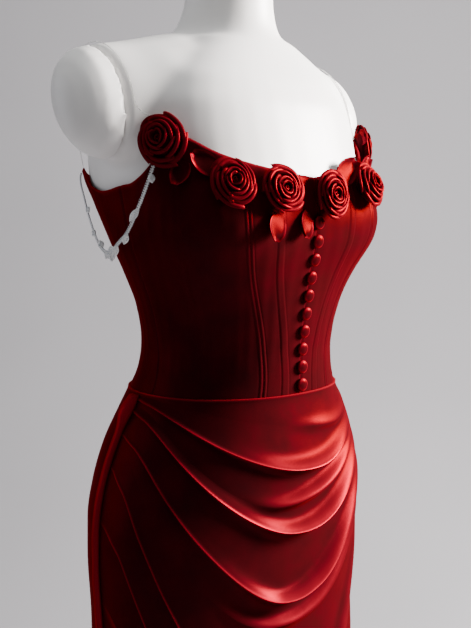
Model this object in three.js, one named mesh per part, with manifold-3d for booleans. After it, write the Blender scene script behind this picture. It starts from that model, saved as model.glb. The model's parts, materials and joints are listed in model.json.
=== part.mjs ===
// A floor-length velvet column gown on a limbless white dress form with its own stand.
// Lengths are millimetres and +Z is up. The front faces -Y and the wearer's right is -X.
// The origin is on the floor under the middle of the form.
// An angle runs round the body from the centre front: 90 is the wearer's right side,
// 180 the centre back, and a negative angle the wearer's left.
import * as THREE from 'three';
import { mergeVertices } from 'three/addons/utils/BufferGeometryUtils.js';
import Module from 'manifold-3d';

const wasm = await Module();
wasm.setup();

// Cloth and seams
const CLOTH = 2.0; // velvet with its backing
const SEAM = 0.3; // parting between two sewn pieces
const HEM_HEIGHT = 14;
const WAIST_SEAM = 1024;
const BODICE_BOTTOM = WAIST_SEAM + SEAM;
const SKIRT_LAP = 1.4; // outer face of the skirt proud of the bodice's outer face
const FORM_EASE = 2.6; // air between the form and the bodice's inner face

// Seams of the bodice and skirt, as angles round the body
const PRINCESS = { waist: 24, bust: 33 };
const CASING = { waist: 10, bust: 18, width: 9, seat: 0.6, proud: 1.0, crown: 0.4, foot: 3 };
const SIDE_SEAM = 92;
const SIDE_BACK_SEAM = 138;
const BUST_HEIGHT = 1196;
const DRAPE_SEAM = { right: 104.5, left: -88 };

// Outer face of the gown: half widths to each side, depths and squareness at each height
const GOWN_SECTIONS = [
  { z: 14, right: 200, left: 200, front: 184, back: 184, square: 2.1, squareBack: 2.1 },
  { z: 200, right: 184, left: 180, front: 152, back: 172, square: 2.1, squareBack: 2.1 },
  { z: 400, right: 172, left: 166, front: 128, back: 162, square: 2.1, squareBack: 2.1 },
  { z: 600, right: 165, left: 156, front: 113, back: 156, square: 2.12, squareBack: 2.12 },
  { z: 760, right: 166, left: 151, front: 106, back: 152, square: 2.15, squareBack: 2.15 },
  { z: 840, right: 170, left: 155, front: 110, back: 154, square: 2.15, squareBack: 2.15 },
  { z: 880, right: 169, left: 158, front: 111, back: 153, square: 2.15, squareBack: 2.15 },
  { z: 920, right: 163, left: 156, front: 111, back: 148, square: 2.15, squareBack: 2.15 },
  { z: 960, right: 150, left: 147, front: 107, back: 137, square: 2.15, squareBack: 2.15 },
  { z: 1000, right: 132, left: 131, front: 102, back: 121, square: 2.15, squareBack: 2.15 },
  { z: 1024, right: 120, left: 120, front: 99, back: 110, square: 2.15, squareBack: 2.15 },
  { z: 1045, right: 113, left: 113, front: 99, back: 100, square: 2.15, squareBack: 2.15 },
  { z: 1065, right: 111, left: 111, front: 99, back: 94, square: 2.15, squareBack: 2.15 },
  { z: 1085, right: 113, left: 113, front: 101, back: 90, square: 2.15, squareBack: 2.15 },
  { z: 1115, right: 120, left: 120, front: 105, back: 89, square: 2.2, squareBack: 2.2 },
  { z: 1150, right: 133, left: 133, front: 111, back: 96, square: 2.25, squareBack: 2.3 },
  { z: 1190, right: 146, left: 146, front: 119, back: 113, square: 2.3, squareBack: 2.45 },
  { z: 1225, right: 152, left: 152, front: 120, back: 131, square: 2.3, squareBack: 2.65 },
  { z: 1262, right: 155, left: 155, front: 114, back: 147, square: 2.3, squareBack: 2.9 },
  { z: 1300, right: 156, left: 156, front: 104, back: 147, square: 2.3, squareBack: 2.8 },
];

// Each side of the bust as a soft swelling of the gown and the form under it
const BUST = { z: 1203, angle: 43, proud: 19, spread: 27, above: 46, below: 52 };

// Top edge of the bodice: neckline, front corner, armhole, back corner, back edge
const TOP_EDGE = [
  { angle: 0, z: 1253 },
  { angle: 20, z: 1262 },
  { angle: 40, z: 1275 },
  { angle: 55, z: 1291 },
  { angle: 63, z: 1298 },
  { angle: 70, z: 1284 },
  { angle: 78, z: 1263 },
  { angle: 90, z: 1246 },
  { angle: 103, z: 1239 },
  { angle: 114, z: 1244 },
  { angle: 123, z: 1257 },
  { angle: 129, z: 1264 },
  { angle: 142, z: 1257 },
  { angle: 160, z: 1247 },
  { angle: 180, z: 1242 },
];

// Folds of the draped skirt front, from the waist down. Each leaves the right seam, sinks to
// its lowest point and climbs to the left seam. Edge is the pleat's step near the right hip,
// swag its depth round the lowest point, and from the angle where a soft fold starts.
const FOLDS = [
  { right: 1021.5, low: 986, at: -18, left: 1020, bow: 1.35, edge: 0.0, swag: 6, middle: -20, from: 14 },
  { right: 1017, low: 946, at: 1, left: 1014, bow: 1.35, edge: 3.4, swag: 9, middle: -3, from: 180 },
  { right: 1011.5, low: 911, at: 13, left: 1007, bow: 1.4, edge: 0.0, swag: 10, middle: -2, from: 36 },
  { right: 1005, low: 881, at: 6, left: 998, bow: 1.35, edge: 3.4, swag: 11, middle: -3, from: 180 },
  { right: 980, low: 809, at: 11, left: 978, bow: 1.35, edge: 3.6, swag: 14, middle: 2, from: 180 },
  { right: 966, low: 781, at: 14, left: 961, bow: 1.65, edge: 0.0, swag: 10, middle: 6, from: 52 },
  { right: 946, low: 655, at: 11, left: 934, bow: 1.6, edge: 3.4, swag: 12, middle: 2, from: 180 },
  { right: 888, low: 545, at: 10, left: 874, bow: 1.75, edge: 2.4, swag: 9, middle: 0, from: 180 },
  { right: 800, low: 410, at: 8, left: 786, bow: 1.9, edge: 1.2, swag: 5, middle: 0, from: 180 },
];
// Degrees over which a pleat, a swag and the gathers at the left seam fade
const PLEAT = { fade: 14, dies: 30, full: 12 };
const SWAG = { right: 25, left: 42, starts: 22, rise: 2 };
const GATHER = { deep: 2.6, from: 30, full: 80, fade: 12 };
const FLUTES = { below: 430, deep: 6, around: 9, phase: 25 }; // soft waves of the hem

// The trunk of the dress form above the neckline
const TRUNK_SECTIONS = [
  { z: 1330, half: 148, front: 92, back: 136, square: 2.3, squareBack: 2.6 },
  { z: 1358, half: 132, front: 78, back: 119, square: 2.3, squareBack: 2.4 },
  { z: 1382, half: 102, front: 62, back: 96, square: 2.2, squareBack: 2.2 },
  { z: 1402, half: 70, front: 48, back: 72, square: 2.1, squareBack: 2.1 },
];
const FORM_BOTTOM = 790;

// Shoulders of the form, cut by planes across X. Lean moves the top of a cut backwards.
const SHOULDER_CUTS = [
  { x: 0, y: 18, z: 1334, deep: 90, tall: 80, lean: 4 },
  { x: 45, y: 19, z: 1334, deep: 88, tall: 77, lean: 5 },
  { x: 80, y: 20, z: 1333, deep: 82, tall: 73, lean: 6 },
  { x: 115, y: 22, z: 1331, deep: 72, tall: 67, lean: 9 },
  { x: 150, y: 25, z: 1329, deep: 56, tall: 62, lean: 12 },
  { x: 172, y: 27, z: 1328, deep: 48, tall: 60, lean: 14 },
];
const SHOULDER_CAP = { deep: 47, tall: 59, dome: 45 };
const NECK_SECTIONS = [
  { z: 1386, radius: 78, y: 22 },
  { z: 1404, radius: 64, y: 18 },
  { z: 1418, radius: 55, y: 14 },
  { z: 1438, radius: 49.5, y: 11 },
  { z: 1462, radius: 48, y: 9 },
  { z: 1492, radius: 48.5, y: 8 },
];

// Stand
const POLE_RADIUS = 14;
const BASE = { radius: 150, rim: 5, boss: 34, thick: 10, bossTop: 24 };

// Trims
const ROSE = {
  radius: 26.5,
  bud: 3.2,
  height: 21,
  sink: 0.5,
  flare: 2.6,
  taper: 0.58,
  turns: 2.9,
  segments: 26,
  cloth: 1.7,
  backing: 16,
  backingThick: 2.4,
};
const ROSE_SEAT = 0.8;
// Wide narrows a rose across, and the leans push its crown across and up as it rises.
const ROSES = [
  { name: 'rose_corner_right', angle: 65, z: 1284, size: 1.06, wide: 0.9, leanAcross: -0.38, leanUp: 0.3 },
  { name: 'rose_outer_right', angle: 39, z: 1243, size: 1.06, wide: 0.82, leanAcross: 0, leanUp: 0 },
  { name: 'rose_inner_right', angle: 17.5, z: 1240, size: 1.0, wide: 1.0, leanAcross: -0.3, leanUp: -0.15 },
  { name: 'rose_inner_left', angle: -4.5, z: 1235, size: 0.98, wide: 1.0, leanAcross: -0.35, leanUp: -0.1 },
  { name: 'rose_outer_left', angle: -29, z: 1242, size: 1.0, wide: 1.0, leanAcross: -0.2, leanUp: 0 },
  { name: 'rose_corner_left', angle: -65, z: 1284, size: 1.06, wide: 0.9, leanAcross: 0.38, leanUp: 0.3 },
];
// Each petal has its root on the gown beside its rose. Turn is the way it points: 0 is up
// and 90 towards the wearer's right.
const PETAL = { cloth: 1.5, length: 30, width: 23, lift: 6, cup: 3.2 };
const PETALS = [
  { name: 'petal_corner_right', angle: 58.5, z: 1268, turn: 162, seat: 0.7, size: 0.8 },
  { name: 'petal_outer_right', angle: 43.5, z: 1257, turn: 47, seat: 0.7, size: 0.98 },
  { name: 'petal_inner_right', angle: 19.5, z: 1216, turn: 158, seat: 2.6, size: 0.95 },
  { name: 'petal_inner_left', angle: 4.5, z: 1217, turn: 152, seat: 0.2, size: 0.95 },
  { name: 'petal_neck_left', angle: -12, z: 1250, turn: -50, seat: 0.7, size: 1.15 },
  { name: 'petal_outer_left', angle: -36, z: 1256, turn: -46, seat: 0.7, size: 1.0 },
  { name: 'petal_corner_left', angle: -58.5, z: 1268, turn: -162, seat: 0.7, size: 0.8 },
];
const BUTTON = { radius: 7.2, height: 5, count: 10, top: 1206, bottom: 1033, seat: 0.7 };

// Crystal vine that hangs off each shoulder, from the front corner to the back corner
const VINE = {
  front: 73,
  back: 129,
  frontZ: 1268,
  backZ: 1258,
  drop: 88,
  swing: 15,
  radius: 1.2,
  steps: 20,
  sides: 5,
};
const LEAF = { width: 5, thick: 2.4, narrow: 0.2 };
// Along is a leaf's place on the stem, and spread its turn off the stem.
const LEAVES = [
  { along: 0.03, spread: -30, length: 8 },
  { along: 0.15, spread: 14, length: 14 },
  { along: 0.27, spread: -18, length: 10 },
  { along: 0.36, spread: -22, length: 12 },
  { along: 0.4, spread: 24, length: 11 },
  { along: 0.44, spread: -62, length: 9 },
  { along: 0.5, spread: -40, length: 8 },
  { along: 0.62, spread: 30, length: 8 },
  { along: 0.74, spread: -28, length: 8 },
  { along: 0.88, spread: 150, length: 9 },
];
const CLEAR_STRAP = { radius: 0.7, steps: 14, sides: 4, shoulderX: 166, front: 60, back: 127, lift: 1.2 };

const material = (name, color, roughness, metalness) =>
  new THREE.MeshStandardMaterial({ name, color, roughness, metalness });
const VELVET = material('velvet', 0x6e0c12, 0.7, 0);
const SHELL = material('form_shell', 0xf2f0ee, 0.45, 0);
const METAL = material('stand_metal', 0xb9bbbd, 0.35, 0.9);
const CRYSTAL = material('crystal', 0xd9dcdf, 0.15, 0.8);
const CLEAR = material('clear_strap', 0xe6e6e4, 0.2, 0);

const radians = THREE.MathUtils.degToRad;
const lerp = THREE.MathUtils.lerp;
const smoothstep = THREE.MathUtils.smoothstep;
const spaced = (count) => Array.from({ length: count + 1 }, (_, i) => i / count);

// A smooth curve through one column of a table, which never overshoots the rows.
function through(rows, key, value) {
  const x = rows.map((row) => row[key]);
  const y = rows.map((row) => row[value]);
  const step = x.slice(1).map((next, i) => next - x[i]);
  const slope = step.map((width, i) => (y[i + 1] - y[i]) / width);
  const lean = x.map((_, i) => {
    if (i === 0) return slope[0];
    if (i === x.length - 1) return slope[i - 1];
    if (slope[i - 1] * slope[i] <= 0) return 0;
    const before = 2 * step[i] + step[i - 1];
    const after = step[i] + 2 * step[i - 1];
    return (before + after) / (before / slope[i - 1] + after / slope[i]);
  });
  return (at) => {
    const place = THREE.MathUtils.clamp(at, x[0], x[x.length - 1]);
    let i = 0;
    while (i < x.length - 2 && place > x[i + 1]) i += 1;
    const t = (place - x[i]) / step[i];
    const bend = t * t * (3 - 2 * t);
    return (
      y[i] * (1 - bend) +
      y[i + 1] * bend +
      step[i] * t * (1 - t) * (lean[i] * (1 - t) - lean[i + 1] * t)
    );
  };
}

const gownRight = through(GOWN_SECTIONS, 'z', 'right');
const gownLeft = through(GOWN_SECTIONS, 'z', 'left');
const gownFront = through(GOWN_SECTIONS, 'z', 'front');
const gownBack = through(GOWN_SECTIONS, 'z', 'back');
const gownSquare = through(GOWN_SECTIONS, 'z', 'square');
const gownSquareBack = through(GOWN_SECTIONS, 'z', 'squareBack');
const topEdge = through(TOP_EDGE, 'angle', 'z');
const topEdgeAt = (angle) => topEdge(Math.abs(angle) > 180 ? 360 - Math.abs(angle) : Math.abs(angle));

// How far the bust swells out of the plain section.
function bustSwell(angle, z) {
  const turned = Math.abs(((angle + 540) % 360) - 180);
  const height = (z - BUST.z) / (z > BUST.z ? BUST.above : BUST.below);
  return BUST.proud * Math.exp(-(((turned - BUST.angle) / BUST.spread) ** 2) - height ** 2);
}

// A point on a rounded section, which may be deeper at the back and wider on one side.
function sectionPoint(angle, z, size) {
  const sine = Math.sin(radians(angle));
  const cosine = Math.cos(radians(angle));
  const power = 2 / (cosine > 0 ? size.square : size.squareBack);
  const half = sine > 0 ? size.right : size.left;
  const depth = cosine > 0 ? size.front : size.back;
  return new THREE.Vector3(
    -half * Math.sign(sine) * Math.abs(sine) ** power,
    -depth * Math.sign(cosine) * Math.abs(cosine) ** power,
    z,
  );
}

// A point on the gown's outer face, moved out from the body.
function gownPoint(angle, z, out = 0) {
  const grown = bustSwell(angle, z) + out;
  return sectionPoint(angle, z, {
    right: gownRight(z) + grown,
    left: gownLeft(z) + grown,
    front: gownFront(z) + grown,
    back: gownBack(z) + grown,
    square: gownSquare(z),
    squareBack: gownSquareBack(z),
  });
}

// The direction straight out of the gown's face.
function gownNormal(angle, z) {
  const across = gownPoint(angle + 1, z).sub(gownPoint(angle - 1, z));
  const upward = gownPoint(angle, z + 3).sub(gownPoint(angle, z - 3));
  return upward.cross(across).normalize();
}

// A closed geometry from points and triangles, with its faces turned outwards.
function closed(points, triangles) {
  const volume = triangles.reduce(
    (sum, [a, b, c]) => sum + points[a].dot(points[b].clone().cross(points[c])),
    0,
  );
  const index = triangles.flatMap(([a, b, c]) => (volume < 0 ? [a, c, b] : [a, b, c]));
  const geometry = new THREE.BufferGeometry().setFromPoints(points);
  geometry.setIndex(index);
  return geometry;
}

// A wall of cloth between two grids of points with the same rows and columns.
function wall(outer, inner) {
  const rows = outer.length;
  const columns = outer[0].length;
  const points = [...outer.flat(), ...inner.flat()];
  const at = (row, column, side) => side * rows * columns + row * columns + column;
  const triangles = [];
  const quad = (a, b, c, d) => triangles.push([a, b, c], [a, c, d]);
  for (let r = 0; r < rows - 1; r += 1) {
    for (let c = 0; c < columns - 1; c += 1) {
      quad(at(r, c, 0), at(r, c + 1, 0), at(r + 1, c + 1, 0), at(r + 1, c, 0));
      triangles.push([at(r, c, 1), at(r + 1, c + 1, 1), at(r, c + 1, 1)]);
      triangles.push([at(r, c, 1), at(r + 1, c, 1), at(r + 1, c + 1, 1)]);
    }
  }
  for (let c = 0; c < columns - 1; c += 1) {
    quad(at(0, c, 1), at(0, c + 1, 1), at(0, c + 1, 0), at(0, c, 0));
    quad(at(rows - 1, c, 0), at(rows - 1, c + 1, 0), at(rows - 1, c + 1, 1), at(rows - 1, c, 1));
  }
  for (let r = 0; r < rows - 1; r += 1) {
    quad(at(r, 0, 0), at(r + 1, 0, 0), at(r + 1, 0, 1), at(r, 0, 1));
    quad(at(r, columns - 1, 1), at(r + 1, columns - 1, 1), at(r + 1, columns - 1, 0), at(r, columns - 1, 0));
  }
  return closed(points, triangles);
}

// A solid skinned over closed rings, with flat ends.
function loft(rings) {
  const count = rings[0].length;
  const points = rings.flat();
  const middle = (ring) => ring.reduce((sum, p) => sum.add(p), new THREE.Vector3()).divideScalar(count);
  const first = points.push(middle(rings[0])) - 1;
  const last = points.push(middle(rings[rings.length - 1])) - 1;
  const triangles = [];
  for (let i = 0; i < count; i += 1) {
    const next = (i + 1) % count;
    for (let r = 0; r < rings.length - 1; r += 1) {
      const low = r * count;
      const high = low + count;
      triangles.push([low + i, low + next, high + next], [low + i, high + next, high + i]);
    }
    const top = (rings.length - 1) * count;
    triangles.push([first, next, i], [last, top + i, top + next]);
  }
  return closed(points, triangles);
}

// A round tube along a list of points.
function tube(points, radius, sides) {
  const rings = points.map((point, i) => {
    const before = points[Math.max(i - 1, 0)];
    const after = points[Math.min(i + 1, points.length - 1)];
    const along = after.clone().sub(before).normalize();
    const across = new THREE.Vector3(0, 0, 1).cross(along);
    if (across.length() < 0.05) across.set(0, 1, 0).cross(along);
    across.normalize();
    const third = along.clone().cross(across);
    return Array.from({ length: sides }, (_, k) => {
      const turn = (2 * Math.PI * k) / sides;
      return point
        .clone()
        .addScaledVector(across, radius * Math.cos(turn))
        .addScaledVector(third, radius * Math.sin(turn));
    });
  });
  return loft(rings);
}

// Joining solids
function toSolid(geometry) {
  const bare = geometry.clone();
  bare.deleteAttribute('normal');
  bare.deleteAttribute('uv');
  const merged = mergeVertices(bare, 1e-4);
  return new wasm.Manifold(
    new wasm.Mesh({
      numProp: 3,
      vertProperties: new Float32Array(merged.attributes.position.array),
      triVerts: new Uint32Array(merged.index.array),
    }),
  );
}

function toGeometry(solid) {
  const mesh = solid.getMesh();
  const geometry = new THREE.BufferGeometry();
  geometry.setAttribute('position', new THREE.BufferAttribute(mesh.vertProperties, 3));
  geometry.setIndex(new THREE.BufferAttribute(mesh.triVerts, 1));
  return geometry;
}

const joined = (geometries) => toGeometry(geometries.map(toSolid).reduce((sum, solid) => sum.add(solid)));

const gown = new THREE.Group();
function place(name, geometry, material, group = gown) {
  const mesh = new THREE.Mesh(geometry, material);
  mesh.name = name;
  group.add(mesh);
  return mesh;
}

// Bodice
const princessAt = (z) =>
  lerp(PRINCESS.waist, PRINCESS.bust, smoothstep(z, WAIST_SEAM, BUST_HEIGHT));
const casingAt = (z) => lerp(CASING.waist, CASING.bust, smoothstep(z, WAIST_SEAM, BUST_HEIGHT));

// A seam's parting as an angle, for a body about this wide.
const partingAngle = (z) => THREE.MathUtils.radToDeg(SEAM / 2 / gownFront(z));

// A grid of points on the gown between two seams, from the bodice's bottom to its top edge.
function bodiceGrid(from, to, columns, rows, out) {
  return spaced(rows).map((up) =>
    spaced(columns).map((across) => {
      const guess = lerp(BODICE_BOTTOM, topEdgeAt(lerp(from(WAIST_SEAM), to(WAIST_SEAM), across)), up);
      const angle = lerp(from(guess) + partingAngle(guess), to(guess) - partingAngle(guess), across);
      return gownPoint(angle, lerp(BODICE_BOTTOM, topEdgeAt(angle), up), out);
    }),
  );
}

const BODICE_PANELS = [
  { name: 'centre_front', from: () => 0, to: princessAt, columns: 4 },
  { name: 'side_front', from: princessAt, to: () => SIDE_SEAM, columns: 9 },
  { name: 'side_back', from: () => SIDE_SEAM, to: () => SIDE_BACK_SEAM, columns: 7 },
  { name: 'centre_back', from: () => SIDE_BACK_SEAM, to: () => 180, columns: 5 },
];
const BODICE_ROWS = 10;

function addBodice() {
  for (const side of [1, -1]) {
    const word = side > 0 ? 'right' : 'left';
    for (const panel of BODICE_PANELS) {
      const from = side > 0 ? panel.from : (z) => -panel.to(z);
      const to = side > 0 ? panel.to : (z) => -panel.from(z);
      const outer = bodiceGrid(from, to, panel.columns, BODICE_ROWS, 0);
      const inner = bodiceGrid(from, to, panel.columns, BODICE_ROWS, -CLOTH);
      place(`bodice_${panel.name}_${word}`, wall(outer, inner), VELVET);
    }
  }
}

// Boning casings: narrow strips stitched on the panels, crowned along the middle.
const CASING_LINES = [
  { name: 'front', at: casingAt, topRow: 8 },
  { name: 'princess', at: princessAt, topRow: 8 },
  { name: 'side', at: () => 62, topRow: 8 },
  { name: 'back', at: () => 146, topRow: 9 },
];

function addCasings() {
  for (const side of [1, -1]) {
    for (const line of CASING_LINES) {
      const grid = (out, crown) =>
        spaced(line.topRow).map((up) =>
          [-0.5, 0, 0.5].map((across) => {
            const row = (up * line.topRow) / BODICE_ROWS;
            const top = topEdgeAt(line.at(BUST_HEIGHT));
            const z = lerp(BODICE_BOTTOM, top, row) + (row > 0 ? 0 : CASING.foot);
            const reach = Math.hypot(gownPoint(line.at(z), z).x, gownPoint(line.at(z), z).y);
            const angle = line.at(z) + THREE.MathUtils.radToDeg((across * CASING.width) / reach);
            return gownPoint(side * angle, z, out + (across === 0 ? crown : 0));
          }),
        );
      const outer = grid(CASING.seat + CASING.proud, CASING.crown);
      const word = side > 0 ? 'right' : 'left';
      place(`casing_${line.name}_${word}`, wall(outer, grid(CASING.seat, CASING.crown / 2)), VELVET);
    }
  }
}

// Draped skirt front
const foldHeight = (fold, angle) => {
  const rightward = angle > fold.at;
  const span = rightward ? DRAPE_SEAM.right - fold.at : fold.at - DRAPE_SEAM.left;
  const share = Math.min(Math.abs(angle - fold.at) / span, 1);
  const end = rightward ? fold.right : fold.left;
  return fold.low + (end - fold.low) * Math.sin((Math.PI / 2) * share ** fold.bow);
};

// How far a fold's ridge stands out of the panel at an angle.
function foldDepth(fold, angle) {
  const fromRight = smoothstep(DRAPE_SEAM.right - angle, 0, PLEAT.fade);
  const fromLeft = smoothstep(angle - DRAPE_SEAM.left, 0, GATHER.fade);
  const pleat = fold.edge * fromRight * smoothstep(angle, fold.middle - PLEAT.dies, fold.middle + PLEAT.full);
  const spread = angle > fold.middle ? SWAG.right : SWAG.left;
  const swag = fold.swag * Math.exp(-(((angle - fold.middle) / spread) ** 2));
  const gather = GATHER.deep * smoothstep(-angle, GATHER.from, GATHER.full) * fromLeft;
  const begun = 1 - smoothstep(angle, fold.from - SWAG.starts, fold.from);
  return Math.max(pleat, swag * begun, gather * begun);
}

// Soft waves that grow towards the hem all round the skirt.
function flute(angle, z) {
  const grown = 1 - smoothstep(z, HEM_HEIGHT, FLUTES.below);
  return FLUTES.deep * grown * 0.5 * (1 + Math.cos(radians(FLUTES.around * angle + FLUTES.phase)));
}

// The step down off a fold: the rows' share that it takes, and its height from the fold's depth
const STEP = { share: 0.25, slope: 0.5, least: 2.2, most: 0.35 };

const DRAPE_LINES = [
  { height: () => WAIST_SEAM, depth: () => 0 },
  ...FOLDS.map((fold) => ({
    height: (angle) => foldHeight(fold, angle),
    depth: (angle) => foldDepth(fold, angle),
  })),
];

// One row of the drape: the line above it, how far towards the next line, and its depth.
function drapeRow(above, below, share, angle, out) {
  const top = above.height(angle);
  const bottom = below ? below.height(angle) : HEM_HEIGHT;
  const drop = Math.min(STEP.most, (STEP.slope * above.depth(angle) + STEP.least) / (top - bottom));
  const past = (share - STEP.share) / (1 - STEP.share);
  const down = past <= 0 ? (share / STEP.share) * drop : lerp(drop, 1, past);
  const z = lerp(top, bottom, down);
  const falling = above.depth(angle) * (1 - smoothstep(down, 0, drop));
  const rising = below ? below.depth(angle) * smoothstep(down, drop, 1) ** SWAG.rise : 0;
  return gownPoint(angle, z, SKIRT_LAP + falling + rising + flute(angle, z) + out);
}

const DRAPE_COLUMNS = 25;
const FOLD_SHARES = [0, STEP.share, 0.7];
const HEM_SHARES = [0, STEP.share, 0.4, 0.55, 0.7, 0.85, 1];

function addSkirtFront() {
  const from = DRAPE_SEAM.left + partingAngle(900);
  const to = DRAPE_SEAM.right - partingAngle(900);
  const grid = (out) =>
    DRAPE_LINES.flatMap((line, i) => {
      const below = DRAPE_LINES[i + 1];
      const shares = below ? FOLD_SHARES : HEM_SHARES;
      return shares.map((share) =>
        spaced(DRAPE_COLUMNS).map((across) => drapeRow(line, below, share, lerp(from, to, across), out)),
      );
    });
  place('skirt_front_drape', wall(grid(0), grid(-CLOTH)), VELVET);
}

// Skirt back, in two halves with a seam down the middle
const BACK_COLUMNS = 10;
const BACK_HEIGHTS = [1024, 1005, 980, 950, 915, 870, 790, 660, 510, 350, 180, 14];

function addSkirtBack() {
  const halves = [
    { name: 'skirt_back_right', from: DRAPE_SEAM.right, to: 180 },
    { name: 'skirt_back_left', from: 180, to: 360 + DRAPE_SEAM.left },
  ];
  for (const half of halves) {
    const grid = (out) =>
      BACK_HEIGHTS.map((z) =>
        spaced(BACK_COLUMNS).map((across) => {
          const gap = partingAngle(z);
          const angle = lerp(half.from + gap, half.to - gap, across);
          return gownPoint(angle, z, SKIRT_LAP + flute(angle, z) + out);
        }),
      );
    place(half.name, wall(grid(0), grid(-CLOTH)), VELVET);
  }
}

// The rolled edge of the drape, which covers the right seam from the waist to the hem.
const ROLL = {
  width: 11,
  proud: 3.4,
  flat: 1.9,
  cloth: 0.8,
  lift: 2.2,
  heights: 20,
  knot: { z: 1007, reach: 15, lift: 6, widen: 0.7 },
};

function addDrapeRoll() {
  const heights = spaced(ROLL.heights).map((down) => lerp(WAIST_SEAM - 3, HEM_HEIGHT, down ** 1.3));
  const grid = (inner) =>
    heights.map((z) =>
      [-0.5, -0.18, 0.18, 0.5].map((across) => {
        const knot = Math.exp(-(((z - ROLL.knot.z) / ROLL.knot.reach) ** 2));
        const width = ROLL.width * (1 + ROLL.knot.widen * knot);
        const angle = DRAPE_SEAM.right + THREE.MathUtils.radToDeg((across * width) / gownRight(z));
        const crown = (ROLL.proud + ROLL.knot.lift * knot) * (1 - (ROLL.flat * across) ** 4);
        const lift = SKIRT_LAP + flute(angle, z) + ROLL.lift;
        return gownPoint(angle, z, lift + (inner ? 0 : ROLL.cloth + crown));
      }),
    );
  place('skirt_side_roll', wall(grid(false), grid(true)), VELVET);
}

// Puts a piece on the gown's face, with its own Z straight out, Y up and X across.
function seatOnGown(mesh, angle, z, out) {
  const normal = gownNormal(angle, z);
  const across = new THREE.Vector3(0, 0, 1).cross(normal).normalize();
  const upward = normal.clone().cross(across);
  mesh.quaternion.setFromRotationMatrix(new THREE.Matrix4().makeBasis(across, upward, normal));
  mesh.position.copy(gownPoint(angle, z)).addScaledVector(normal, out);
}

// A rose of rolled ribbon: a spiral wall, tall in the middle and leaning out, on a backing.
function roseGeometry({ angle, size, wide, leanAcross, leanUp }) {
  const turns = ROSE.turns * 2 * Math.PI * (angle < 0 ? -1 : 1);
  const rings = spaced(ROSE.segments).map((along) => {
    const turn = turns * along;
    const radius = lerp(ROSE.bud, ROSE.radius - ROSE.flare, along ** 0.9);
    const foot = radius * ROSE.taper;
    const top = ROSE.height * (1 - ROSE.sink * along ** 1.6);
    const lean = radius + ROSE.flare * along;
    const corner = (reach, z) => new THREE.Vector3(reach * Math.cos(turn), reach * Math.sin(turn), z);
    return [
      corner(foot - ROSE.cloth, ROSE.backingThick / 2),
      corner(foot, ROSE.backingThick / 2),
      corner(lean, top),
      corner(lean - ROSE.cloth, top),
    ];
  });
  const backing = new THREE.CylinderGeometry(ROSE.backing, ROSE.backing, ROSE.backingThick, 16);
  backing.rotateX(Math.PI / 2).translate(0, 0, ROSE.backingThick / 2);
  const leaned = new THREE.Matrix4().set(wide, 0, leanAcross, 0, 0, 1, leanUp, 0, 0, 0, 1, 0, 0, 0, 0, 1);
  return joined([loft(rings), backing])
    .rotateZ(radians(angle * 3))
    .scale(size, size, size)
    .applyMatrix4(leaned);
}

function addRoses() {
  for (const rose of ROSES) {
    seatOnGown(place(rose.name, roseGeometry(rose), VELVET), rose.angle, rose.z, ROSE_SEAT);
  }
}

// A cupped petal of folded velvet, rooted on the gown and lifting towards its tip.
function petalGeometry(petal) {
  const either = 6;
  const before = gownPoint(petal.angle - either, petal.z);
  const perDegree = gownPoint(petal.angle + either, petal.z).distanceTo(before) / (2 * either);
  const sine = Math.sin(radians(petal.turn));
  const cosine = Math.cos(radians(petal.turn));
  const grid = (out) =>
    spaced(4).map((along) =>
      [-1, -0.4, 0.4, 1].map((across) => {
        const half = (PETAL.width / 2) * Math.sin(Math.PI * (0.16 + 0.78 * along)) ** 0.75;
        const side = petal.size * half * across;
        const reach = petal.size * PETAL.length * along;
        const lift = PETAL.lift * along ** 1.6 + PETAL.cup * across ** 2 * along;
        const angle = petal.angle + (reach * sine - side * cosine) / perDegree;
        return gownPoint(angle, petal.z + side * sine + reach * cosine, petal.seat + lift + out);
      }),
    );
  return wall(grid(PETAL.cloth), grid(0));
}

function addPetals() {
  for (const petal of PETALS) place(petal.name, petalGeometry(petal), VELVET);
}

// Covered buttons down the centre front
function addButtons() {
  const { radius, height, count, top, bottom, seat } = BUTTON;
  const profile = [
    new THREE.Vector2(0, 0),
    new THREE.Vector2(radius * 0.9, 0),
    new THREE.Vector2(radius, height * 0.35),
    new THREE.Vector2(radius * 0.66, height * 0.85),
    new THREE.Vector2(0, height),
  ];
  for (let i = 0; i < count; i += 1) {
    const geometry = new THREE.LatheGeometry(profile, 10).rotateX(Math.PI / 2);
    const mesh = place(`button_${i + 1}`, geometry, VELVET);
    seatOnGown(mesh, 0, lerp(top, bottom, i / (count - 1)), seat);
  }
}

// A point of the vine's middle line, a hanging curve that stands off the side of the bodice.
function vinePoint(side, t) {
  const angle = lerp(VINE.front, VINE.back, t);
  const z = lerp(VINE.frontZ, VINE.backZ, t) - VINE.drop * 4 * t * (1 - t);
  const out = VINE.radius + SEAM + VINE.swing * Math.sin(Math.PI * t) ** 0.7;
  return gownPoint(side * angle, z, out);
}

// A flat pointed leaf from its root at the origin along Y.
function leafGeometry(length) {
  const rings = spaced(2).map((along) => {
    const half = (LEAF.width / 2) * Math.max(Math.sin(Math.PI * (0.08 + 0.88 * along)), LEAF.narrow);
    const thick = LEAF.thick / 2;
    const y = length * along;
    return [
      new THREE.Vector3(half, y, 0),
      new THREE.Vector3(0, y, thick),
      new THREE.Vector3(-half, y, 0),
      new THREE.Vector3(0, y, -thick),
    ];
  });
  return loft(rings);
}

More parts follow.
